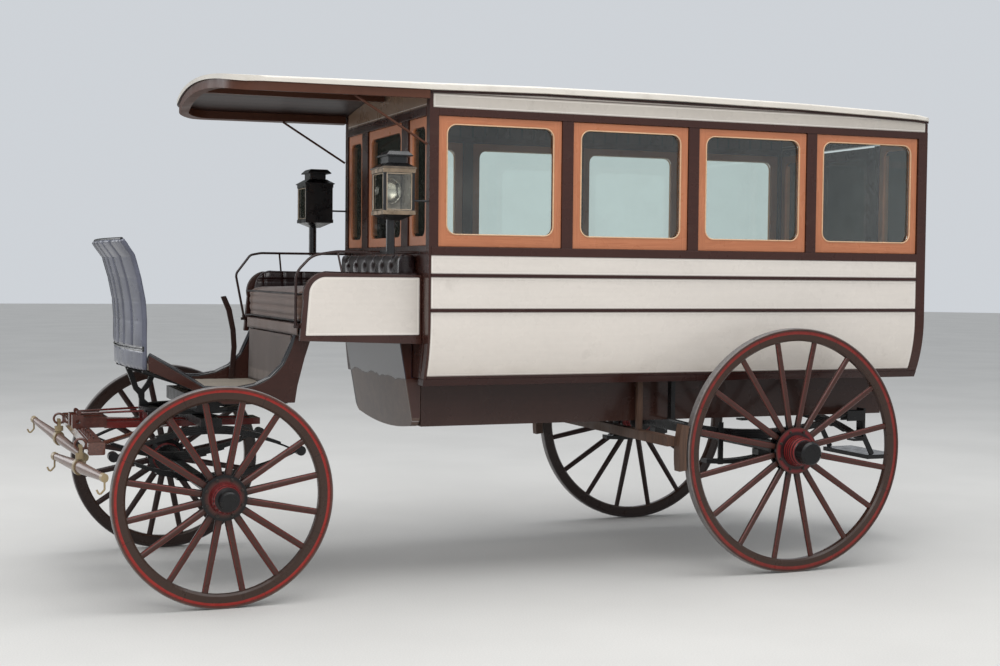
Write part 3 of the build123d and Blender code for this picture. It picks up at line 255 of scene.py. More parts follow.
def paint(name, colour, rough=0.3, coat=0.35, wear=0.03, lower=None, grain=(2.5, 60, 60), dirt=0.12,
          spec=0.5, lines=None):
    """brushed and varnished coach paint: soft mottling, brush marks, dust, small chips"""
    g = Graph(name)
    c = g.shade(colour, g.noise(1.7, 4, 0.55), wear)
    c = g.shade(c, g.noise(38.0, 2, 0.5), wear * 0.5)
    streak = g.noise(1.0, 3, 0.6, v=g.map(grain))
    c = g.shade(c, streak, wear * 0.6)
    # grime that gathers in patches
    spots = g.fade(g.noise(9.0, 5, 0.7), 0.58, 0.78, 0.0, dirt)
    c = g.mix(spots, c, lin(112, 96, 82))
    chips = g.fade(g.cells(46.0), 0.03, 0.018)
    chance = g.fade(g.noise(14.0, 2), 0.60, 0.66)
    c = g.mix(g.both(chips, chance), c, lin(60, 44, 36))
    if lower is not None:
        z0, z1, dust = lower
        c = g.mix(g.m("MULTIPLY", g.fade(g.z, z0, z1, 1.0, 0.0), g.fade(g.noise(6.0, 4), 0.3, 0.75, 0.15, 0.6)),
                  c, dust)
    if lines is not None:
        c = lines(g, c)
    g.bump(streak, 0.10, 0.0006)
    g.bump(g.noise(160.0, 2, 0.5), 0.05, 0.0004)
    r = g.fade(g.noise(5.0, 4, 0.6), 0.3, 0.75, rough * 0.8, rough * 1.35)
    return g.finish(c, r, coat=coat, spec=spec)


def rounded(g, px, pz, hx, hz, corner):
    """signed distance from a rounded rectangle; corner is a radius or a socket"""
    qx = g.m("ADD", g.m("SUBTRACT", g.m("ABSOLUTE", px), hx), corner)
    qz = g.m("ADD", g.m("SUBTRACT", g.m("ABSOLUTE", pz), hz), corner)
    ox, oz = g.m("MAXIMUM", qx, 0.0), g.m("MAXIMUM", qz, 0.0)
    far = g.m("SQRT", g.m("ADD", g.m("MULTIPLY", ox, ox), g.m("MULTIPLY", oz, oz)))
    near = g.m("MINIMUM", g.m("MAXIMUM", qx, qz), 0.0)
    return g.m("SUBTRACT", g.m("ADD", far, near), corner)


def panel_lines(rects, inside=0.7045):
    """lines painted round each panel: a dark edge, a pale line inside it; dark boards within"""
    def paint_on(g, c):
        for x0, x1, z0, z1 in rects:
            px = g.m("SUBTRACT", g.x, (X(x0) + X(x1)) / 2)
            pz = g.m("SUBTRACT", g.z, (z0 + z1) / 2000.0)
            d = rounded(g, px, pz, abs(x1 - x0) / 2000.0, abs(z1 - z0) / 2000.0, 0.006)
            c = g.mix(g.m("MULTIPLY", g.band(d, -0.0105, -0.0075, 0.0006), 0.85), c, lin(246, 240, 232))
            c = g.mix(g.m("MULTIPLY", g.band(d, -0.0022, 0.0040, 0.0006), 0.75), c, lin(70, 46, 40))
        if inside:
            rib = g.m("FRACT", g.m("MULTIPLY", g.x, 1.0 / 0.078))
            board = g.mix(g.over(g.fade(rib, 0.10, 0.04), g.fade(rib, 0.90, 0.96)), lin(66, 42, 34), lin(22, 15, 13))
            limit = g.fade(g.z, 1.235, 1.245, 0.606, inside)
            depth = g.m("SUBTRACT", g.m("ABSOLUTE", g.y), limit)
            c = g.mix(g.fade(depth, 0.0, -0.0008), c, board)
        return c
    return paint_on


def arm_lines(g, c):
    """the seat arm's brown frame round its cream panel"""
    px = g.m("SUBTRACT", g.x, X(-713.0))
    lean = g.m("MULTIPLY", g.m("SUBTRACT", g.z, 1.380), 0.081)
    px = g.m("ADD", px, g.m("MULTIPLY", lean, g.fade(px, 0.05, 0.15)))
    pz = g.m("SUBTRACT", g.z, 1.3755)
    front_top = g.both(g.fade(px, 0.0, 0.02), g.fade(pz, 0.0, 0.02))
    corner = g.m("ADD", g.m("MULTIPLY", front_top, 0.070), 0.006)
    d = rounded(g, px, pz, 0.278, 0.140, corner)
    frame_c = g.shade(BROWN, g.noise(8.0, 4, 0.6), 0.10)
    c = g.mix(g.m("MULTIPLY", g.band(d, -0.0105, -0.0075, 0.0006), 0.8), c, lin(246, 240, 232))
    c = g.mix(g.fade(d, -0.0006, 0.0006), c, frame_c)
    c = g.mix(g.m("MULTIPLY", g.band(d, -0.0006, 0.0030, 0.0006), 0.7), c, lin(36, 22, 19))
    inner = g.fade(g.m("ABSOLUTE", g.y), 0.6392, 0.6380)
    c = g.mix(inner, c, frame_c)
    g.bump(g.fade(d, -0.002, 0.002), 0.6, 0.002)
    return c


def wood(name, light, dark, along="x", rough=0.35, coat=0.4, swap=None, fig=1.0):
    """varnished wood with its grain along one axis; swap is a mask that turns the grain to z"""
    g = Graph(name)

    def grain(axis):
        sc = {"x": (1.2, 26, 26), "y": (26, 1.2, 26), "z": (26, 26, 1.2)}[axis]
        fine = {"x": (5, 420, 420), "y": (420, 5, 420), "z": (420, 420, 5)}[axis]
        a = g.noise(1.0, 4, 0.62, v=g.map(sc), dist=0.8)
        b = g.noise(1.0, 2, 0.6, v=g.map(fine))
        return a, b

    a, b = grain(along)
    if swap is not None:
        m = swap(g)
        a2, b2 = grain("z")
        a = g.m("ADD", g.m("MULTIPLY", a, g.m("SUBTRACT", 1.0, m)), g.m("MULTIPLY", a2, m))
        b = g.m("ADD", g.m("MULTIPLY", b, g.m("SUBTRACT", 1.0, m)), g.m("MULTIPLY", b2, m))
    rings = g.m("FRACT", g.m("MULTIPLY", a, 7.0))
    rings = g.fade(rings, 0.0, 1.0)
    c = g.mix(g.m("MULTIPLY", rings, 0.55 * fig), light, dark)
    c = g.mix(g.fade(b, 0.42, 0.68, 0.0, 0.35 * fig), c, dark)
    c = g.shade(c, g.noise(3.0, 3), 0.05)
    g.bump(b, 0.12, 0.0003)
    r = g.fade(g.noise(7.0, 3), 0.3, 0.7, rough * 0.85, rough * 1.25)
    return g.finish(c, r, coat=coat)


def iron(name, colour, rough=0.38, dust=0.10, rust=0.25, coat=0.15):
    """black enamelled forgings, dusty on top and worn to rust in places"""
    g = Graph(name)
    c = g.shade(colour, g.noise(12.0, 4, 0.6), 0.12)
    n = g.normal_z()
    top = g.both(g.fade(n[2], 0.3, 0.9), g.fade(g.noise(22.0, 4), 0.35, 0.7, 0.2, 1.0))
    c = g.mix(g.m("MULTIPLY", top, dust), c, lin(150, 138, 122))
    worn = g.fade(g.noise(34.0, 5, 0.7), 0.63, 0.74, 0.0, rust)
    c = g.mix(worn, c, lin(96, 58, 42))
    g.bump(g.noise(90.0, 4, 0.6), 0.18, 0.0006)
    g.bump(g.noise(7.0, 2, 0.5), 0.15, 0.003)
    r = g.m("ADD", g.fade(g.noise(18.0, 3), 0.3, 0.7, rough * 0.8, rough * 1.3), g.m("MULTIPLY", worn, 0.8), clamp=True)
    return g.finish(c, r, coat=coat, coat_rough=0.15, spec=0.4)


def wheel_mat(name, cx, cy, cz, side, radius, front):
    """brown wheel, red edge lines on the spokes, red band on the felloe, black irons, red nave"""
    g = Graph(name)
    dx = g.m("SUBTRACT", g.x, cx)
    dz = g.m("SUBTRACT", g.z, cz)
    r = g.m("SQRT", g.m("ADD", g.m("MULTIPLY", dx, dx), g.m("MULTIPLY", dz, dz)))
    out = g.m("MULTIPLY", g.m("SUBTRACT", g.y, cy), float(side))
    turn = g.m("DIVIDE", g.m("ARCTAN2", dz, dx), math.radians(22.5))
    t = g.m("MULTIPLY", g.m("SUBTRACT", g.m("FRACT", g.m("ADD", turn, 64.0)), 0.5), math.radians(22.5))
    lat = g.m("ABSOLUTE", g.m("MULTIPLY", r, g.m("SINE", t)))
    # wood, streaked along each spoke
    rim_in = radius - 0.066
    felloe = g.fade(r, rim_in - 0.003, rim_in + 0.001)
    brown = g.mix(felloe, lin(70, 40, 33), lin(60, 42, 34))
    # painted shade: the wheel's inner side, felloe face and spoke backs, is painted darker as if in shade
    back = g.fade(out, -0.0205, -0.0225)
    brown = g.mix(g.m("MULTIPLY", g.over(back, g.both(g.fade(out, 0.004, -0.012), g.m("SUBTRACT", 1.0, felloe))), 0.75),
                  brown, lin(36, 24, 22))
    brown = g.shade(brown, g.noise(2.2, 4, 0.6), 0.07)
    streak = g.noise(1.0, 3, 0.6, v=g.vec(g.m("MULTIPLY", r, 6.0), g.m("MULTIPLY", lat, 260.0), g.m("MULTIPLY", out, 200.0)))
    brown = g.shade(brown, streak, 0.06)
    worn = g.fade(g.noise(30.0, 5, 0.7), 0.64, 0.76, 0.0, 0.5)
    brown = g.mix(worn, brown, lin(58, 38, 33))
    c = brown
    red = g.shade(lin(146, 38, 31) if front else lin(124, 40, 34), g.noise(25.0, 4, 0.6), 0.14)
    red = g.mix(g.fade(g.noise(16.0, 5, 0.7), 0.60, 0.76, 0.0, 0.45), red, lin(92, 52, 44))
    # edge lines on the spokes
    hub_r = 0.104 if front else 0.122
    zone = g.band(r, hub_r + 0.03, rim_in - 0.008, 0.004)
    wob = g.m("MULTIPLY", g.m("SUBTRACT", g.noise(9.0, 2), 0.5), 0.003)
    lines = g.both(g.band(g.m("ADD", lat, wob), 0.0105, 0.0122, 0.0005), g.fade(out, -0.006, 0.0))
    c = g.mix(g.m("MULTIPLY", g.both(zone, lines), 0.8), c, red)
    # red band on the outer edge of the rim, dark joint between wood and tyre
    face = g.fade(out, 0.006, 0.011)
    band_in = radius - (0.027 if front else 0.031)
    c = g.mix(g.both(g.fade(g.m("ADD", r, wob), band_in - 0.0006, band_in + 0.0006), face), c, red)
    c = g.mix(g.m("MULTIPLY", g.both(g.fade(r, radius - 0.0150, radius - 0.0140), face), 0.7), c, lin(66, 36, 30))
    # felloe joints, eight round the rim
    half = g.m("FRACT", g.m("ADD", g.m("DIVIDE", g.m("ARCTAN2", dz, dx), math.radians(45.0)), 64.0))
    cut = g.both(g.band(g.m("MULTIPLY", g.m("ABSOLUTE", g.m("SUBTRACT", half, 0.5)), r), -0.001, 0.0016, 0.0005),
                 g.fade(r, rim_in - 0.002, rim_in))
    c = g.mix(g.m("MULTIPLY", cut, 0.8), c, lin(30, 22, 20))
    # nave: black flange, red with black rings, black cap
    ao = g.m("ABSOLUTE", out)
    in_hub = g.fade(r, hub_r + 0.014, hub_r + 0.012)
    nave_zone = g.fade(ao, 0.021, 0.0225)
    rings = g.m("FRACT", g.m("MULTIPLY", ao, 1000.0 / 15.0))
    ring_mask = g.fade(rings, 0.50, 0.60)
    nave = g.mix(ring_mask, lin(110, 26, 28), lin(36, 14, 15))
    nave = g.mix(g.m("MULTIPLY", g.band(rings, 0.22, 0.34, 0.04), 0.6), nave, lin(176, 76, 72))
    black = g.shade(lin(14, 13, 14), g.noise(40.0, 4), 0.25)
    flange = g.band(ao, 0.0045, 0.0205, 0.0008)
    flange = g.both(flange, g.fade(r, 0.066 if front else 0.078, 0.069 if front else 0.081))
    inner_fl = g.both(g.fade(out, -0.030, -0.032), g.fade(out, -0.0605, -0.0585))
    cap_at = 0.086 if front else 0.098
    cap = g.fade(ao, cap_at - 0.001, cap_at + 0.001)
    c = g.mix(g.both(in_hub, nave_zone), c, nave)
    c = g.mix(g.both(in_hub, g.over(flange, cap, inner_fl)), c, black)
    g.bump(streak, 0.10, 0.0005)
    g.bump(g.noise(140.0, 3, 0.6), 0.07, 0.0004)
    rough = g.fade(g.noise(12.0, 4, 0.6), 0.3, 0.75, 0.24, 0.42)
    return g.finish(c, rough, coat=0.15, coat_rough=0.12, spec=0.35)


def tyre_mat(name, cx, cy, cz, side, radius, front):
    g = Graph(name)
    dx = g.m("SUBTRACT", g.x, cx)
    dz = g.m("SUBTRACT", g.z, cz)
    r = g.m("SQRT", g.m("ADD", g.m("MULTIPLY", dx, dx), g.m("MULTIPLY", dz, dz)))
    steel = g.shade(lin(116, 112, 111), g.noise(60.0, 5, 0.65), 0.16)
    steel = g.mix(g.fade(g.noise(8.0, 4), 0.45, 0.75, 0.0, 0.55), steel, lin(84, 74, 68))
    turn = g.m("ARCTAN2", dz, dx)
    scratch = g.noise(1.0, 4, 0.7, v=g.vec(g.m("MULTIPLY", turn, 6.0), g.m("MULTIPLY", g.y, 320.0), 0.0))
    steel = g.shade(steel, scratch, 0.14)
    outw = g.m("MULTIPLY", g.m("SUBTRACT", g.y, cy), float(side))
    sidec = g.shade(lin(84, 42, 34) if front else lin(66, 38, 32), g.noise(30.0, 4), 0.18)
    sidec = g.mix(g.fade(r, radius - 0.0062, radius - 0.0050), sidec, lin(104, 86, 76))
    sidec = g.mix(g.fade(g.noise(40.0, 5, 0.7), 0.5, 0.68, 0.0, 0.6), sidec, lin(74, 54, 46))
    # painted shade: the tyre's inner side is painted darker as if in shade
    sidec = g.mix(g.fade(outw, 0.002, -0.002), sidec, lin(44, 32, 29))
    tread = g.fade(r, radius - 0.0045, radius - 0.0028)
    c = g.mix(tread, sidec, steel)
    g.bump(scratch, 0.2, 0.0006)
    g.bump(g.noise(200.0, 4, 0.6), 0.2, 0.0005)
    return g.finish(c, g.fade(tread, 0.0, 1.0, 0.42, 0.46), metal=0.0, coat=0.05)


def glass_mat(name, tint=(0.93, 0.97, 0.95, 1.0), rough=0.0, haze=0.0):
    """thin glass: mostly clear, mirror-like at a slant, with faint dust and ripples"""
    g = Graph(name)
    g.t.nodes.remove(g.b)
    clear = g.add("ShaderNodeBsdfTransparent")
    clear.inputs[0].default_value = tint
    gloss = g.add("ShaderNodeBsdfGlossy")
    gloss.inputs["Roughness"].default_value = 0.02
    gloss.inputs["Color"].default_value = (1, 1, 1, 1)
    ripple = g.add("ShaderNodeBump")
    ripple.inputs["Strength"].default_value = 0.05
    ripple.inputs["Distance"].default_value = 0.004
    g.put(ripple.inputs["Height"], g.noise(5.0, 2, 0.5))
    g.t.links.new(ripple.outputs[0], gloss.inputs["Normal"])
    fres = g.add("ShaderNodeFresnel")
    fres.inputs[0].default_value = 1.5
    dust = g.add("ShaderNodeBsdfDiffuse")
    dust.inputs[0].default_value = lin(190, 186, 176)
    m1 = g.add("ShaderNodeMixShader")
    g.put(m1.inputs[0], g.m("MULTIPLY", fres.outputs[0], 1.0))
    g.t.links.new(clear.outputs[0], m1.inputs[1])
    g.t.links.new(gloss.outputs[0], m1.inputs[2])
    m2 = g.add("ShaderNodeMixShader")
    g.put(m2.inputs[0], g.fade(g.noise(4.0, 5, 0.7), 0.35, 0.8, 0.004, 0.035 + haze))
    g.t.links.new(m1.outputs[0], m2.inputs[1])
    g.t.links.new(dust.outputs[0], m2.inputs[2])
    g.t.links.new(m2.outputs[0], g.out.inputs[0])
    return g.mat


def patent_mat(name, colour=lin(26, 24, 27), rough=0.24, coat=0.5, crack=1.0):
    """old patent leather: creased, cracked, glossy"""
    g = Graph(name)
    c = g.shade(colour, g.noise(5.0, 4), 0.2)
    pebble = g.cells(420.0)
    crease = g.cells(26.0, v=g.map((1, 1, 1.6)), feature="DISTANCE_TO_EDGE")
    line = g.fade(crease, 0.012, 0.0, 0.0, 1.0)
    line = g.m("MULTIPLY", line, g.fade(g.noise(6.0, 3), 0.5, 0.62))
    c = g.mix(g.m("MULTIPLY", line, 0.5 * crack), c, lin(92, 86, 82))
    scuff = g.fade(g.noise(18.0, 5, 0.7), 0.6, 0.76, 0.0, 0.35)
    c = g.mix(scuff, c, lin(104, 98, 98))
    g.bump(pebble, 0.08, 0.0004)
    g.bump(line, 0.25, 0.0006)
    g.bump(g.noise(11.0, 3, 0.5), 0.25, 0.003)
    r = g.fade(g.noise(9.0, 4), 0.3, 0.75, rough * 0.8, rough * 1.5)
    return g.finish(c, r, coat=coat, coat_rough=0.1)


def cloth_mat(name, colour, weave=900.0, rough=0.85, sheen=0.3):
    """heavy woven cloth, dusty and faded in patches"""
    g = Graph(name)
    c = g.shade(colour, g.noise(4.0, 4, 0.6), 0.10)
    c = g.shade(c, g.noise(60.0, 3, 0.6), 0.08)
    warp = g.m("SINE", g.m("MULTIPLY", g.m("ADD", g.x, g.z), weave * 2.2))
    weft = g.m("SINE", g.m("MULTIPLY", g.y, weave * 3.1))
    w = g.m("MULTIPLY", g.m("ADD", g.m("MULTIPLY", warp, weft), 1.0), 0.5)
    c = g.shade(c, w, 0.10)
    g.bump(w, 0.35, 0.0005)
    g.bump(g.noise(300.0, 3, 0.7), 0.25, 0.0005)
    return g.finish(c, rough, sheen=sheen)


def roof_mat():
    g = Graph("mat_roof")
    n = g.normal_z()
    canvas = g.shade(lin(222, 216, 206), g.noise(2.0, 5, 0.6), 0.05)
    canvas = g.mix(g.fade(g.noise(5.0, 5, 0.7), 0.5, 0.8, 0.0, 0.35), canvas, lin(170, 160, 146))
    # boards of the ceiling run along the roof
    under = g.fade(n[2], -0.35, -0.55)
    under = g.both(under, g.fade(g.m("ABSOLUTE", g.y), 0.7405, 0.739))
    board = g.m("FRACT", g.m("MULTIPLY", g.m("ADD", g.y, 5.0), 1.0 / 0.085))
    seam = g.over(g.fade(board, 0.035, 0.02), g.fade(board, 0.965, 0.98))
    grain = g.noise(1.0, 4, 0.6, v=g.map((1.4, 40, 40)))
    deck = g.mix(g.fade(grain, 0.3, 0.7), lin(56, 32, 25), lin(34, 19, 16))
    deck = g.mix(seam, deck, lin(14, 9, 8))
    c = g.mix(under, canvas, deck)
    # fine bumps in the canvas, and the ceiling's seams pressed in
    g.bump(g.noise(260.0, 3, 0.6), 0.12, 0.0006)
    g.bump(g.m("MULTIPLY", g.m("MULTIPLY", seam, under), -1.0), 0.5, 0.002)
    r = g.fade(under, 0.0, 1.0, 0.55, 0.42)
    return g.finish(c, r, coat=0.03, spec=0.35)


def lamp_metal():
    """old nickel and brass bands round black corner posts and black inner sides"""
    g = Graph("mat_lamp")
    brass = g.shade(lin(158, 138, 116), g.noise(30.0, 4), 0.16)
    brass = g.mix(g.fade(g.noise(24.0, 5, 0.7), 0.5, 0.72, 0.0, 0.7), brass, lin(84, 68, 54))
    black = g.shade(lin(20, 19, 20), g.noise(30.0, 4), 0.2)
    ay = g.m("ABSOLUTE", g.y)
    glazed = g.fade(g.y, 0.0, 0.01)
    bands = g.over(g.band(g.z, 1.8125, 1.8325, 0.0006), g.band(g.z, 2.0105, 2.0302, 0.0006))
    mask = g.both(bands, glazed)
    neck = g.both(g.band(g.z, 2.0302, 2.0400, 0.0006), glazed)
    # silvered inside of the plates behind the light
    inside = g.both(g.over(g.band(ay, 0.6470, 0.6495, 0.0005), g.band(g.x, X(-896.5), X(-893.5), 0.0005)),
                    g.band(g.z, 1.834, 2.009, 0.0006), g.band(ay, 0.6470, 0.8140, 0.0005))
    silver = g.shade(lin(186, 178, 172), g.noise(40.0, 4, 0.6), 0.12)
    black = g.mix(inside, black, silver)
    c = g.mix(mask, black, brass)
    c = g.mix(g.m("MULTIPLY", neck, 0.35), c, brass)
    g.bump(g.noise(120.0, 4, 0.6), 0.12, 0.0005)
    g.bump(g.noise(14.0, 2, 0.5), 0.2, 0.002)
    r = g.fade(g.noise(20.0, 4), 0.3, 0.7, 0.22, 0.42)
    return g.finish(c, r, metal=g.m("MULTIPLY", mask, 0.85), coat=0.3)


def sash_grain(g):
    """1 on the stiles of the side sashes, where the grain stands upright"""
    u = g.m("MULTIPLY", g.m("SUBTRACT", X(-1052.0), g.x), 1.0 / 0.7122)
    w = g.m("MULTIPLY", g.m("FRACT", u), 0.7122)
    return g.over(g.fade(w, 0.0455, 0.0445), g.fade(w, 0.6065, 0.6075))


def front_sash_grain(g):
    ay = g.m("ABSOLUTE", g.y)
    return g.over(g.band(ay, 0.257, 0.446, 0.0006), g.fade(ay, 0.6475, 0.6485))


def sash_mat(name, swap):
    """salmon varnished sash wood, its grain turned upright where swap says"""
    return wood(name, SALMON, lin(166, 96, 62), "x", 0.3, 0.25, swap=swap, fig=0.7)


def assign(node, mat, bevel=0.0, seg=2, angle=35.0):
    ob = NODES[node]
    for slot in ob.material_slots:
        slot.material = mat
    if bevel:
        weld = ob.modifiers.new("weld", "WELD")
        weld.merge_threshold = 0.00002
        flat = ob.modifiers.new("flat", "DECIMATE")
        flat.decimate_type = "DISSOLVE"
        flat.angle_limit = math.radians(0.6)
        bv = ob.modifiers.new("bevel", "BEVEL")
        bv.width = bevel
        bv.segments = seg
        bv.limit_method = "ANGLE"
        bv.angle_limit = math.radians(angle)
        bv.use_clamp_overlap = True
        wn = ob.modifiers.new("normals", "WEIGHTED_NORMAL")
        wn.weight = 80
        wn.keep_sharp = False


side_rects = [(-3841.5, -1016.0, 1032.0, 1350.0), (-3841.5, -1016.0, 1365.0, 1520.0),
              (-3841.5, -1016.0, 1535.0, 1625.0)]
cream = paint("mat_cream", CREAM, 0.28, 0.35, 0.022, lower=(0.98, 1.12, lin(186, 174, 160)),
              lines=panel_lines(side_rects))
cream_plain = paint("mat_cream_plain", CREAM, 0.28, 0.35, 0.022, lower=(0.98, 1.12, lin(186, 174, 160)))
cream_arm = paint("mat_cream_arm", CREAM, 0.28, 0.35, 0.022, lines=arm_lines)
cream_upper = paint("mat_cream_upper", lin(208, 200, 190), 0.3, 0.3, 0.03,
                    lines=panel_lines([(-3887.0, -1022.0, 2335.0, 2404.0)]))
tan = paint("mat_arch", lin(150, 124, 104), 0.3, 0.3, 0.05,
            lines=panel_lines([(-4100.0, 200.0, 2346.0, 2600.0)], inside=None))
brown = paint("mat_brown", BROWN, 0.26, 0.18, 0.08, dirt=0.08, spec=0.35)
dark_brown = paint("mat_dark_brown", lin(52, 30, 24), 0.26, 0.3, 0.08, dirt=0.08,
                   lower=(0.74, 0.84, lin(72, 52, 44)), spec=0.35)
line_dark = paint("mat_line", lin(52, 25, 21), 0.28, 0.15, 0.08, spec=0.35)
interior = wood("mat_interior", lin(70, 42, 30), lin(34, 20, 16), "x", 0.4, 0.1)
iron_m = iron("mat_iron", lin(15, 14, 15), 0.3, 0.05, 0.12, 0.1)
rail_iron = iron("mat_rail_iron", lin(46, 26, 22), 0.22, 0.03, 0.1, 0.4)
leather = patent_mat("mat_patent")
glass = glass_mat("mat_glass")
glass_lamp = glass_mat("mat_lamp_glass", (0.97, 0.98, 0.95, 1.0))
sash_side = sash_mat("mat_sash_side", sash_grain)
sash_end = wood("mat_sash_end", lin(216, 140, 98), lin(184, 108, 72), "x", 0.32, 0.2, swap=front_sash_grain, fig=0.7)
def gear_lines(g, c):
    """the front of the futchells is browner than the rest"""
    front = g.fade(g.x, X(426.0), X(430.0))
    return g.mix(front, c, g.shade(lin(84, 46, 38), g.noise(30.0, 4, 0.6), 0.2))


gear_red = paint("mat_gear", lin(100, 30, 27), 0.24, 0.4, 0.12, dirt=0.3, spec=0.4, lines=gear_lines)
worn = wood("mat_worn_wood", lin(118, 92, 80), lin(70, 45, 36), "y", 0.26, 0.4, fig=0.8)
worn_bar = wood("mat_worn_bar", lin(104, 60, 46), lin(56, 30, 24), "y", 0.16, 0.8)
brake_w = wood("mat_brake_wood", lin(92, 66, 50), lin(48, 34, 28), "z", 0.6, 0.05)
seat_cloth = cloth_mat("mat_seat_cloth", lin(106, 83, 72))
bench_cloth = cloth_mat("mat_bench_cloth", lin(92, 40, 34), 700.0, 0.9, 0.6)
mat_rubber = cloth_mat("mat_footboard", lin(158, 148, 134), 300.0, 0.8, 0.0)
brass = iron("mat_brass", lin(150, 132, 100), 0.35, 0.1, 0.3, 0.2)
canopy_wood = paint("mat_canopy", lin(88, 54, 40), 0.42, 0.05, 0.08, spec=0.25)
# the dash's black patent leather gets a blue-grey base colour: a painted reflection of the sky
dash_sky_painted = patent_mat("mat_dash", lin(92, 94, 108), 0.30, 0.35, 0.3)
roll_leather = patent_mat("mat_roll", lin(14, 13, 17), 0.16, 1.0, 0.25)
seat_leather = patent_mat("mat_seat_leather", lin(40, 24, 24), 0.30, 0.25, 0.4)
pipe = patent_mat("mat_piping", lin(34, 24, 22), 0.4, 0.1, 0.2)
bolt_m = iron("mat_bolt", lin(52, 44, 40), 0.35, 0.1, 0.3, 0.1)
lamp_frame_m = iron("mat_lamp_frame", lin(176, 158, 136), 0.3, 0.0, 0.35, 0.2)
bead_m = paint("mat_bead", lin(222, 182, 144), 0.28, 0.35, 0.08, dirt=0.25)


def mirror_mat():
    """silvered reflector, tarnished in patches"""
    g = Graph("mat_mirror")
    c = g.shade(lin(214, 210, 202), g.noise(20.0, 4), 0.06)
    c = g.mix(g.fade(g.noise(36.0, 5, 0.7), 0.56, 0.76, 0.0, 0.6), c, lin(120, 108, 92))
    g.bump(g.noise(30.0, 3, 0.5), 0.10, 0.001)
    return g.finish(c, g.fade(g.noise(16.0, 4), 0.3, 0.7, 0.12, 0.3), metal=0.9)


def fall_mat():
    """heavy cloth with a lighter, rubbed strip where boots touch it"""
    g = Graph("mat_fall")
    c = g.shade(lin(90, 74, 66), g.noise(4.0, 4, 0.6), 0.10)
    rub = g.both(g.band(g.m("ADD", g.z, g.m("MULTIPLY", g.noise(6.0, 3), 0.02)), 0.985, 1.035, 0.006),
                 g.fade(g.noise(14.0, 4), 0.3, 0.6, 0.4, 1.0))
    c = g.mix(g.m("MULTIPLY", rub, 0.7), c, lin(124, 110, 100))
    warp = g.m("SINE", g.m("MULTIPLY", g.z, 2000.0))
    weft = g.m("SINE", g.m("MULTIPLY", g.y, 2300.0))
    w = g.m("MULTIPLY", g.m("ADD", g.m("MULTIPLY", warp, weft), 1.0), 0.5)
    c = g.shade(c, w, 0.08)
    g.bump(w, 0.3, 0.0005)
    g.bump(g.noise(300.0, 3, 0.7), 0.25, 0.0005)
    return g.finish(c, 0.85, sheen=0.2)


mirror_m = mirror_mat()
fall_cloth = fall_mat()


def toe_mat():
    """patent leather of the toe: glossy above and tinted blue there as a painted reflection, scuffed to a grey brown
    below an uneven line; a painted highlight along the near edge, painted shade along the far edge
    """
    g = Graph("mat_toe")
    # painted reflection: the glossy upper toe is dark patent leather tinted blue
    gloss = g.shade(lin(34, 36, 54), g.noise(3.0, 4), 0.10)
    scuffed = g.shade(lin(92, 72, 62), g.noise(14.0, 5, 0.7), 0.16)
    scuffed = g.mix(g.fade(g.noise(50.0, 4, 0.7), 0.5, 0.75, 0.0, 0.4), scuffed, lin(54, 45, 41))
    level = g.m("ADD", g.z, g.m("MULTIPLY", g.m("SUBTRACT", g.noise(7.0, 4, 0.6), 0.5), 0.06))
    low = g.fade(level, 1.012, 1.004)
    edge = g.band(level, 1.003, 1.012, 0.002)
    c = g.mix(low, gloss, scuffed)
    c = g.mix(g.m("MULTIPLY", edge, 0.6), c, lin(34, 30, 32))
    ay = g.m("ABSOLUTE", g.y)
    # painted highlight: a pale line along the near edge; painted shade: the far edge painted black
    c = g.mix(g.m("MULTIPLY", g.band(ay, 0.4885, 0.4920, 0.0008), 0.7), c, lin(170, 164, 164))
    c = g.mix(g.fade(g.y, -0.470, -0.476), c, lin(20, 18, 20))
    c = g.mix(g.fade(ay, 0.4993, 0.4999), c, g.shade(BROWN, g.noise(8.0, 4), 0.08))
    g.bump(g.noise(60.0, 4, 0.6), 0.15, 0.0008)
    g.bump(g.noise(6.0, 3, 0.5), 0.25, 0.003)
    return g.finish(c, g.fade(low, 0.0, 1.0, 0.14, 0.5), coat=0.3, coat_rough=0.12)

lamp_m = lamp_metal()

assign("roof", roof_mat())
for n in ("side_panel_left", "side_panel_right"):
    assign(n, cream)
assign("seat_arms", cream_arm, 0.004, 3)
assign("rear_wall", cream_plain, 0.002)
assign("letterboards", cream_upper, 0.0015)
assign("arch_panels", tan)
for n in ("corner_posts", "window_posts", "rails", "boot_sides", "driver_seat_box", "rear_door", "front_wall"):
    assign(n, brown, 0.0025)
assign("mouldings", line_dark, 0.002)
assign("sills", line_dark, 0.003)
assign("floor_well", dark_brown, 0.003)
assign("bench_seats", interior, 0.002)
assign("bench_cushions", bench_cloth)
assign("side_sashes", sash_side, 0.003, 2)
assign("end_sashes", sash_end, 0.003, 2)
for n in ("window_glass", "rear_door_glass"):
    assign(n, glass)
assign("lamp_glass", glass_lamp)
assign("lamps", lamp_m, 0.0012)
assign("canopy_frame", canopy_wood, 0.003)
assign("front_lower_panel", toe_mat(), 0.004)
assign("dash", leather)
assign("dash_irons", iron_m, 0.002)
assign("driver_backrest", leather)
assign("arm_bolsters", seat_leather)
assign("driver_cushion", seat_cloth)
assign("seat_riser", brown)
assign("footboard", mat_rubber, 0.002)
for n in ("upper_fifth_wheel", "lower_fifth_wheel", "front_springs", "rear_springs", "front_axle", "rear_axle",
          "rear_cross_spring", "rear_step"):
    assign(n, iron_m, 0.0015)
assign("seat_rails", rail_iron)
assign("brake_lever", rail_iron, 0.004, 3)
assign("futchells", gear_red, 0.004)
assign("splinter_bar", worn_bar, 0.004)
assign("singletree_left", worn)
assign("singletree_right", worn)
assign("singletree_irons_left", brass)
assign("singletree_irons_right", brass)
assign("brake_gear", brake_w, 0.004)
assign("rear_door_handle", brass, 0.002)
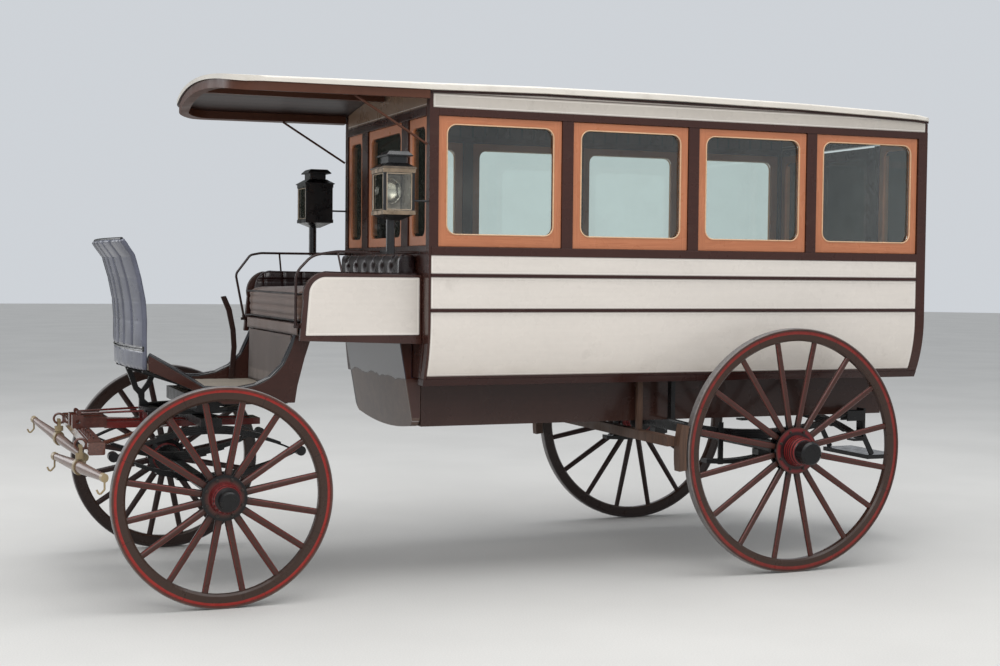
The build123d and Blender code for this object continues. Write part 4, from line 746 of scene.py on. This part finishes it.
for end, radius in (("front", 0.508), ("rear", 0.635)):
    for word, side in (("left", 1), ("right", -1)):
        lo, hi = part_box(f"tyre_{end}_{word}")
        c = (lo + hi) / 2
        assign(f"wheel_{end}_{word}", wheel_mat(f"mat_wheel_{end}_{word}", c.x, c.y, c.z, side, radius, end == "front"))
        assign(f"tyre_{end}_{word}", tyre_mat(f"mat_tyre_{end}_{word}", c.x, c.y, c.z, side, radius, end == "front"))


# ---------------------------------------------------------------------------
# soft goods
# ---------------------------------------------------------------------------
scene = bpy.context.scene


def link(name, me, mat, body="body", smooth=True):
    ob = bpy.data.objects.new(name, me)
    scene.collection.objects.link(ob)
    me.materials.clear()
    me.materials.append(mat)
    if smooth:
        me.polygons.foreach_set("use_smooth", [True] * len(me.polygons))
    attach(ob, body)
    return ob


def settle(ob, mat=None):
    """keep what the modifiers give as the object's own mesh"""
    bpy.context.view_layer.update()
    dg = bpy.context.evaluated_depsgraph_get()
    me = bpy.data.meshes.new_from_object(ob.evaluated_get(dg))
    old = ob.data
    ob.modifiers.clear()
    ob.data = me
    bpy.data.meshes.remove(old)
    if mat is not None:
        me.materials.clear()
        me.materials.append(mat)
    me.polygons.foreach_set("use_smooth", [True] * len(me.polygons))


def coords(me):
    co = np.empty(len(me.vertices) * 3)
    me.vertices.foreach_get("co", co)
    return co.reshape(-1, 3)


def normals(me):
    n = np.empty(len(me.vertices) * 3)
    me.vertex_normals.foreach_get("vector", n)
    return n.reshape(-1, 3)


def put_coords(me, co):
    me.vertices.foreach_set("co", np.ascontiguousarray(co).ravel())
    me.update()


def pad_box(x0, x1, y0, y1, z0, z1, r):
    bm = bmesh.new()
    bmesh.ops.create_cube(bm, size=1.0)
    for v in bm.verts:
        v.co = V((x0 + x1) / 2 + v.co.x * (x1 - x0), (y0 + y1) / 2 + v.co.y * (y1 - y0),
                 (z0 + z1) / 2 + v.co.z * (z1 - z0))
    bmesh.ops.bevel(bm, geom=bm.edges[:], offset=r / 1000.0, segments=3, profile=0.5, affect="EDGES")
    me = bpy.data.meshes.new("pad")
    bm.to_mesh(me)
    bm.free()
    return me


def pad_prism(points, y0, y1, r):
    bm = bmesh.new()
    a = [bm.verts.new(V(x, y0, z)) for x, z in points]
    b = [bm.verts.new(V(x, y1, z)) for x, z in points]
    bm.faces.new(a)
    bm.faces.new(b[::-1])
    for i in range(len(a)):
        j = (i + 1) % len(a)
        bm.faces.new((a[i], b[i], b[j], a[j]))
    bmesh.ops.recalc_face_normals(bm, faces=bm.faces[:])
    rim = [e for e in bm.edges if abs(e.verts[0].co.y - e.verts[1].co.y) < 1e-6]
    bmesh.ops.bevel(bm, geom=rim, offset=r / 1000.0, segments=3, profile=0.5, affect="EDGES")
    me = bpy.data.meshes.new("pad")
    bm.to_mesh(me)
    bm.free()
    return me


def stuffed(name, me, mat, voxel, cap, pressure=4.0, pin=None, fine=True):
    """a closed form filled by cloth pressure, no point moving further than the cap"""
    ob = link(name, me, mat)
    rm = ob.modifiers.new("remesh", "REMESH")
    rm.mode = "VOXEL"
    rm.voxel_size = voxel
    settle(ob, mat)
    start = coords(ob.data)
    cl = ob.modifiers.new("cloth", "CLOTH")
    st = cl.settings
    st.quality = 4
    st.mass = 0.3
    st.use_pressure = True
    st.uniform_pressure_force = pressure
    st.effector_weights.gravity = 0.0
    cl.collision_settings.use_collision = False
    cl.point_cache.frame_start = 1
    cl.point_cache.frame_end = 20
    if pin is not None:
        held = [i for i, p in enumerate(start) if pin(p)]
        vg = ob.vertex_groups.new(name="held")
        vg.add(held, 1.0, "REPLACE")
        st.vertex_group_mass = "held"
    for f in range(1, 21):
        scene.frame_set(f)
    settle(ob, mat)
    scene.frame_set(1)
    step = coords(ob.data) - start
    far = np.linalg.norm(step, axis=1)
    step *= np.minimum(1.0, cap / np.maximum(far, 1e-9))[:, None]
    put_coords(ob.data, start + step)
    ob.vertex_groups.clear()
    if fine:
        sub = ob.modifiers.new("fine", "SUBSURF")
        sub.levels = sub.render_levels = 1
        settle(ob, mat)
    return ob


def tubes(name, runs, r, mat, body="body", res=2):
    """round rods along rows of points, as one mesh"""
    cu = bpy.data.curves.new(name + "_line", "CURVE")
    cu.dimensions = "3D"
    for pts, closed in runs:
        sp = cu.splines.new("POLY")
        sp.points.add(len(pts) - 1)
        for p, q in zip(sp.points, pts):
            p.co = (q[0], q[1], q[2], 1.0)
        sp.use_cyclic_u = closed
    cu.bevel_depth = r / 1000.0
    cu.bevel_resolution = res
    cu.use_fill_caps = True
    tmp = bpy.data.objects.new(name + "_line", cu)
    scene.collection.objects.link(tmp)
    bpy.context.view_layer.update()
    me = bpy.data.meshes.new_from_object(tmp.evaluated_get(bpy.context.evaluated_depsgraph_get()))
    bpy.data.objects.remove(tmp)
    bpy.data.curves.remove(cu)
    return link(name, me, mat, body)


def tree_of(ob):
    me = ob.data
    return BVHTree.FromPolygons([v.co for v in me.vertices], [p.vertices[:] for p in me.polygons])


def hit(tree, p, d, fallback):
    at = tree.ray_cast(Vector(p), Vector(d))[0]
    return at if at is not None else Vector(fallback)


def gauss(a, s):
    return np.exp(-(a / s) ** 2)


# driver's cushion: crowned top, three sewn channels along the front, piped edges
cushion = stuffed("seat_cushion", pad_box(-904, -400, -556, 556, 1292, 1440, 26), seat_cloth, 0.014, 0.015,
                  pin=lambda p: p[2] < 1.2955)
co, n = coords(cushion.data), normals(cushion.data)
front = np.clip((n[:, 0] - 0.35) / 0.4, 0, 1)
side = np.clip((np.abs(n[:, 1]) - 0.5) / 0.4, 0, 1)
dent = sum(gauss(co[:, 2] - z, 0.0055) for z in (1.325, 1.365, 1.405))
co[:, 0] -= front * dent * 0.007
co[:, 1] -= np.sign(co[:, 1]) * side * dent * 0.005
top = np.clip((n[:, 2] - 0.5) / 0.4, 0, 1)
crown = np.clip(1 - (co[:, 1] / 0.56) ** 2, 0, 1) * np.clip(1 - ((co[:, 0] - X(-652)) / 0.26) ** 2, 0, 1)
co[:, 2] += top * crown * 0.012
co[:, 2] -= top * 0.004 * (gauss(co[:, 1] - 0.27, 0.17) + gauss(co[:, 1] + 0.29, 0.18))
put_coords(cushion.data, co)
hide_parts("driver_cushion")
ct = tree_of(cushion)


def around(z):
    pts = [hit(ct, (X(x), 0.9, z), (0, -1, 0), (X(x), 0.56, z)) for x in np.linspace(-870, -425, 16)]
    pts += [hit(ct, (X(-300), y, z), (-1, 0, 0), (X(-395), y, z)) for y in np.linspace(0.540, -0.540, 46)]
    pts += [hit(ct, (X(x), -0.9, z), (0, 1, 0), (X(x), -0.56, z)) for x in np.linspace(-425, -870, 16)]
    return pts


tubes("seat_piping", [(around(1.431), False), (around(1.301), False)], 5.5, pipe)

# driver's backrest: two rows of deep buttons with creases between them
back = stuffed("seat_back", pad_box(-1001, -932, -556, 556, 1364, 1640, 22), seat_leather, 0.011, 0.011,
               pin=lambda p: p[0] < X(-998))
co, n = coords(back.data), normals(back.data)
face = np.clip((n[:, 0] + 0.1) / 0.6, 0, 1)
buttons = [(y, 1.455) for y in np.linspace(-0.468, 0.468, 7)] + [(y, 1.560) for y in np.linspace(-0.390, 0.390, 6)]
dent = np.zeros(len(co))
for y, z in buttons:
    dent = np.maximum(dent, gauss(np.hypot(co[:, 1] - y, co[:, 2] - z), 0.026) * 0.018)


def crease(y0, z0, y1, z1, depth=0.008, w=0.0075):
    dy, dz = y1 - y0, z1 - z0
    t = np.clip(((co[:, 1] - y0) * dy + (co[:, 2] - z0) * dz) / (dy * dy + dz * dz), 0, 1)
    return gauss(np.hypot(co[:, 1] - y0 - t * dy, co[:, 2] - z0 - t * dz), w) * depth


for y0, z0 in buttons[:7]:
    dent = np.maximum(dent, crease(y0, z0, y0, 1.364))
    for y1, z1 in buttons[7:]:
        if abs(y1 - y0) < 0.09:
            dent = np.maximum(dent, crease(y0, z0, y1, z1))
for y0, z0 in buttons[7:]:
    dent = np.maximum(dent, crease(y0, z0, y0, 1.648))
co[:, 0] -= face * dent
put_coords(back.data, co)
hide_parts("driver_backrest")
bt = tree_of(back)
bm = bmesh.new()
for y, z in buttons:
    p = hit(bt, (X(-700), y, z), (-1, 0, 0), (X(-930), y, z))
    bmesh.ops.create_uvsphere(bm, u_segments=14, v_segments=8, radius=0.0095,
                              matrix=Matrix.Translation(p + Vector((0.001, 0, 0))) @ Matrix.Diagonal((0.5, 1, 1, 1)))
me = bpy.data.meshes.new("buttons")
bm.to_mesh(me)
bm.free()
link("seat_buttons", me, seat_leather)

# rolls inside the arms
outline = [(-1000, 1543), (-1000, 1295), (-430, 1295), (-435, 1400), (-440, 1450), (-452, 1498), (-482, 1532), (-522, 1548)]
for word, s in (("left", 1), ("right", -1)):
    y0, y1 = sorted((s * 608.0, s * 575.0))
    roll = stuffed("arm_roll_" + word, pad_prism(outline, y0, y1, 9), seat_leather, 0.009, 0.006)
    co, n = coords(roll.data), normals(roll.data)
    inner = np.clip(-n[:, 1] * s, 0, 1)
    pleat = sum(gauss(co[:, 0] - X(x), 0.007) for x in np.linspace(-930, -500, 5))
    co[:, 1] += s * inner * pleat * 0.006
    co[:, 1] += s * inner * gauss(co[:, 2] - 1.492, 0.007) * 0.007
    put_coords(roll.data, co)
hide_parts("arm_bolsters")
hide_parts("arm_bolsters")

# bench cushions and back pads of the cabin
tail, wall = -3909.0, -1004.0
benches = []
for word, s in (("left", 1), ("right", -1)):
    y0, y1 = sorted((s * 334.0, s * 648.0))
    c = stuffed("bench_cushion_" + word, pad_box(tail + 74, wall - 74, y0, y1, 1211, 1288, 18), bench_cloth, 0.02, 0.010,
                pin=lambda p: p[2] < 1.215)
    co, n = coords(c.data), normals(c.data)
    up = np.clip((n[:, 2] - 0.3) / 0.5, 0, 1)
    for x in np.linspace(-3400, -1500, 4):
        co[:, 2] -= up * gauss(co[:, 0] - X(x), 0.012) * 0.014
    for x in np.linspace(-3700, -1200, 13):
        for f in (0.33, 0.67):
            y = s * (0.334 + f * 0.314)
            co[:, 2] -= up * gauss(np.hypot(co[:, 0] - X(x), co[:, 1] - y), 0.028) * 0.012
    put_coords(c.data, co)
    y0, y1 = sorted((s * 666.0, s * 698.0))
    p = stuffed("bench_back_" + word, pad_box(tail + 72, wall - 72, y0, y1, 1316, 1610, 12), bench_cloth, 0.016, 0.006,
                pin=lambda q: abs(q[1]) > 0.696, fine=False)
    co, n = coords(p.data), normals(p.data)
    inn = np.clip(-n[:, 1] * s, 0, 1)
    for x in np.linspace(-3800, -1100, 19):
        co[:, 1] += s * inn * gauss(co[:, 0] - X(x), 0.016) * 0.010
    put_coords(p.data, co)
    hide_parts("bench_cushions")
    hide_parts("bench_cushions")

# dash: six upright flutes of padded patent leather, with rods along its top and a welt below
D_HALF, D_R = 490.0, 2600.0
D_BOW = D_R * (1 - math.cos(math.asin(D_HALF / D_R)))
D_CX = 337.0 + D_BOW - D_R


def dash_point(x, z, y):
    r = x + D_BOW - D_CX
    return V(D_CX + math.sqrt(r * r - y * y), y, z)


dash = stuffed("dash_pad", NODES["dash"].data.copy(), dash_sky_painted, 0.008, 0.005, pressure=3.0, fine=False,
               pin=lambda p: abs(p[1] / 0.16333 - round(p[1] / 0.16333)) < 0.045 or abs(p[1]) > 0.478 or p[2] < 1.085 or p[2] > 1.672)
co, n = coords(dash.data), normals(dash.data)
ahead = np.clip(n[:, 0] * 1.4, 0, 1)
t = np.abs(((co[:, 1] + 0.490) / 0.16333) % 1.0 * 2 - 1)
edge = (1 - t) * 0.08167
above = np.clip((co[:, 2] - 1.172) / 0.008, 0, 1)
flute = above * (0.005 * (1 - t ** 2) - 0.010 * gauss(edge, 0.009) * (np.abs(co[:, 1]) < 0.47))
flute -= 0.006 * gauss(co[:, 2] - 1.170, 0.007)
co[:, 0] += ahead * flute
behind = np.clip(-n[:, 0] * 1.4, 0, 1)
co[:, 0] += behind * 0.004 * gauss(edge, 0.010)
co[:, 2] += np.clip(-n[:, 2], 0, 1) * 0.0
put_coords(dash.data, co)
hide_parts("dash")
ys = np.linspace(-486, 486, 41)
tubes("dash_rods", [([dash_point(409, 1684, y) for y in ys], False),
                    ([dash_point(398, 1660, y) for y in ys], False)], 8.0, iron_m)
tubes("dash_welt", [([dash_point(313, 1164, y) for y in ys], False),
                    ([dash_point(313, 1177, y) for y in ys], False)], 5.5, leather)

# the fall below the seat and the short valance over it
def hung(name, x_at, y0, y1, z0, z1, wave, mat):
    nx, nz = int((y1 - y0) / 14), max(4, int((z1 - z0) / 12))
    verts, faces = [], []
    for j in range(nz + 1):
        z = z0 + (z1 - z0) * j / nz
        for i in range(nx + 1):
            y = y0 + (y1 - y0) * i / nx
            k = (1 - j / nz) * wave
            x = x_at(z) + k * (math.sin(y / 61.0) + 0.5 * math.sin(y / 23.0 + 1.0))
            verts.append(V(x, y, z))
    for j in range(nz):
        for i in range(nx):
            a = j * (nx + 1) + i
            faces.append((a, a + 1, a + nx + 2, a + nx + 1))
    me = bpy.data.meshes.new(name)
    me.from_pydata(verts, [], faces)
    ob = link(name, me, mat)
    so = ob.modifiers.new("thick", "SOLIDIFY")
    so.thickness = 0.003
    so.offset = 0.0
    settle(ob, mat)
    return ob


hung("seat_fall", lambda z: -392.0 - 8.0 * (z - 958) / 271.0 + 4.5, -468.0, 468.0, 963.0, 1228.0, 1.2, fall_cloth)
hung("seat_valance", lambda z: -404.0, -562.0, 562.0, 1234.0, 1287.0, 1.6, seat_cloth)

# patent roll along the boot sides' upper edge
boot_top = [(-411, 1229), (-399, 1197), (-349, 1087), (-287, 1026), (-212, 991), (-114, 974),
            (32, 983), (104, 1033), (191, 1087), (288, 1142)]
tubes("boot_rolls", [([V(x, s * 487.0, z) for x, z in boot_top], False) for s in (1, -1)], 13.0, roll_leather, res=3)

# pale bead round each side light
runs = []
for k in range(4):
    xc = -1052.0 - 712.2 * k - 326.0
    for s in (1, -1):
        pts = []
        hx, hz, r = 281.0, 266.0, 48.0
        for cx, cz, a0 in ((hx - r, hz - r, 0), (-(hx - r), hz - r, 90), (-(hx - r), -(hz - r), 180), (hx - r, -(hz - r), 270)):
            for i in range(9):
                a = math.radians(a0 + i * 90 / 8)
                pts.append(V(xc + cx + r * math.cos(a), s * 728.6, 1993.0 + cz + r * math.sin(a)))
        runs.append((pts, True))
tubes("light_beads", runs, 3.6, bead_m, res=1)

# lamp reflectors: a concave disc with a rolled rim
bm = bmesh.new()
for s in (1, -1):
    prof = [(0.0, -0.018), (0.020, -0.0165), (0.040, -0.011), (0.055, -0.003), (0.061, 0.004), (0.0635, 0.0045), (0.0645, 0.001),
            (0.0635, -0.003), (0.050, -0.018), (0.025, -0.024), (0.0, -0.0245)]
    rings = []
    for r, d in prof:
        if r == 0.0:
            rings.append([bm.verts.new(V(-818, s * 678.0, 1930) + Vector((0, s * d, 0)))])
        else:
            rings.append([bm.verts.new(V(-818, s * 678.0, 1930) + Vector((r * math.cos(a), s * d, r * math.sin(a))))
                          for a in np.linspace(0, 2 * math.pi, 40, endpoint=False)])
    for a, b in zip(rings, rings[1:]):
        for i in range(40):
            j = (i + 1) % 40
            if len(a) == 1:
                bm.faces.new((a[0], b[i], b[j]))
            elif len(b) == 1:
                bm.faces.new((a[i], a[j], b[0]))
            else:
                bm.faces.new((a[i], a[j], b[j], b[i]))
bmesh.ops.recalc_face_normals(bm, faces=bm.faces[:])
me = bpy.data.meshes.new("reflectors")
bm.to_mesh(me)
bm.free()
link("lamp_reflectors", me, mirror_m)

# thin frames round the lamps' lights, inside the black posts
runs = []
for s in (1, -1):
    y0, y1 = s * 652.0, s * 812.0
    z0, z1 = 1837.0, 2006.0
    runs.append(([V(-750, y0, z0), V(-750, y1, z0), V(-750, y1, z1), V(-750, y0, z1)], True))
    ys = s * (732.0 + 93.0)
    runs.append(([V(-886, ys, z0), V(-764, ys, z0), V(-764, ys, z1), V(-886, ys, z1)], True))
tubes("lamp_frames", runs, 3.2, lamp_frame_m, res=1)

# hub bolts, eight to a wheel
for end, rb in (("front", 0.088), ("rear", 0.103)):
    for word, s in (("left", 1), ("right", -1)):
        lo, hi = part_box(f"tyre_{end}_{word}")
        c = (lo + hi) / 2
        wt = tree_of(NODES[f"wheel_{end}_{word}"])
        bm = bmesh.new()
        spots = [(rb * math.cos(math.radians(22.5 + 45 * k)), rb * math.sin(math.radians(22.5 + 45 * k)), 0.0085)
                 for k in range(8)]
        for dx, dz, r in spots:
            p = wt.ray_cast(Vector((c.x + dx, c.y + s * 0.4, c.z + dz)), Vector((0, -s, 0)))[0]
            if p is None:
                continue
            turn = Matrix.Rotation(-s * math.pi / 2, 4, "X")
            base = Matrix.Translation(p) @ turn
            part = bmesh.ops.create_cone(bm, cap_ends=True, segments=6, radius1=r, radius2=r * 0.94, depth=0.012, matrix=base)
            bmesh.ops.create_cone(bm, cap_ends=True, segments=12, radius1=r * 0.5, radius2=r * 0.42, depth=0.020, matrix=base)
        me = bpy.data.meshes.new("bolts")
        bm.to_mesh(me)
        bm.free()
        ob = link(f"hub_bolts_{end}_{word}", me, bolt_m, f"wheel_{end}_{word}", smooth=False)
        bv = ob.modifiers.new("bevel", "BEVEL")
        bv.width = 0.0009
        bv.segments = 2


# ---------------------------------------------------------------------------
# floor, light, camera
# ---------------------------------------------------------------------------
def stage():
    bm = bmesh.new()
    bmesh.ops.create_circle(bm, cap_ends=True, segments=96, radius=60.0)
    me = bpy.data.meshes.new("floor")
    bm.to_mesh(me)
    bm.free()
    floor = bpy.data.objects.new("floor", me)
    bpy.context.scene.collection.objects.link(floor)
    g = Graph("mat_floor")
    c = g.shade(lin(206, 204, 200), g.noise(0.8, 4), 0.03)
    c = g.shade(c, g.noise(140.0, 3, 0.7), 0.05)
    g.bump(g.noise(220.0, 3, 0.7), 0.12, 0.001)
    me.materials.append(g.finish(c, 0.85, spec=0.2))

    world = bpy.data.worlds.new("studio")
    bpy.context.scene.world = world
    world.use_nodes = True
    bg = world.node_tree.nodes["Background"]
    bg.inputs[0].default_value = (0.86, 0.90, 0.95, 1)
    bg.inputs[1].default_value = 0.72

    def area(name, pos, target, size, power, colour=(1, 1, 1)):
        d = bpy.data.lights.new(name, "AREA")
        d.shape = "RECTANGLE"
        d.size, d.size_y = size
        d.energy = power
        d.color = colour
        o = bpy.data.objects.new(name, d)
        o.location = pos
        o.rotation_euler = (Vector(target) - Vector(pos)).to_track_quat("-Z", "Y").to_euler()
        bpy.context.scene.collection.objects.link(o)
        return o

    area("top", (0, 1.0, 9.0), (0, 0, 0), (10, 8), 620)
    area("key", (3.5, 8.5, 6.5), (0, 0, 1.0), (6, 4), 260, (1.0, 0.98, 0.95))
    front = area("front", (FX + 6.5, -7.0, 2.8), (FX, 0, 1.0), (7, 3), 110)
    front.visible_camera = False
    # a dark card beside the far side keeps glare off the varnish
    me = bpy.data.meshes.new("card")
    me.from_pydata([(FX - 3.2, -6.5, 0.9), (FX + 1.7, -6.5, 0.9), (FX + 1.7, -6.5, 4.2), (FX - 3.2, -6.5, 4.2)], [], [(0, 1, 2, 3)])
    g = Graph("mat_card")
    me.materials.append(g.finish(g.shade(lin(46, 50, 44), g.noise(1.5, 3), 0.2), 0.9, spec=0.1))
    card = bpy.data.objects.new("card", me)
    bpy.context.scene.collection.objects.link(card)
    card.visible_camera = False
    card.visible_shadow = False
    card.visible_diffuse = False


def camera():
    yaw, pitch, roll = (math.radians(a) for a in (21.6369, 2.3106, 0.5525))
    pos = Vector((FX + 1.3714, 7.6671, 1.5476))
    fwd = Vector((-math.sin(yaw) * math.cos(pitch), -math.cos(yaw) * math.cos(pitch), -math.sin(pitch)))
    right = fwd.cross(Vector((0, 0, 1))).normalized()
    up = right.cross(fwd)
    r2 = right * math.cos(roll) + up * math.sin(roll)
    u2 = up * math.cos(roll) - right * math.sin(roll)
    rot = Matrix((r2, u2, -fwd)).transposed().to_4x4()
    cam = bpy.data.cameras.new("camera")
    cam.sensor_fit = "HORIZONTAL"
    cam.sensor_width = 36.0
    cam.lens = 1516.273 * 36.0 / 1000.0
    ob = bpy.data.objects.new("camera", cam)
    ob.matrix_world = Matrix.Translation(pos) @ rot
    bpy.context.scene.collection.objects.link(ob)
    bpy.context.scene.camera = ob


stage()
camera()
bpy.context.scene.view_settings.view_transform = "Standard"
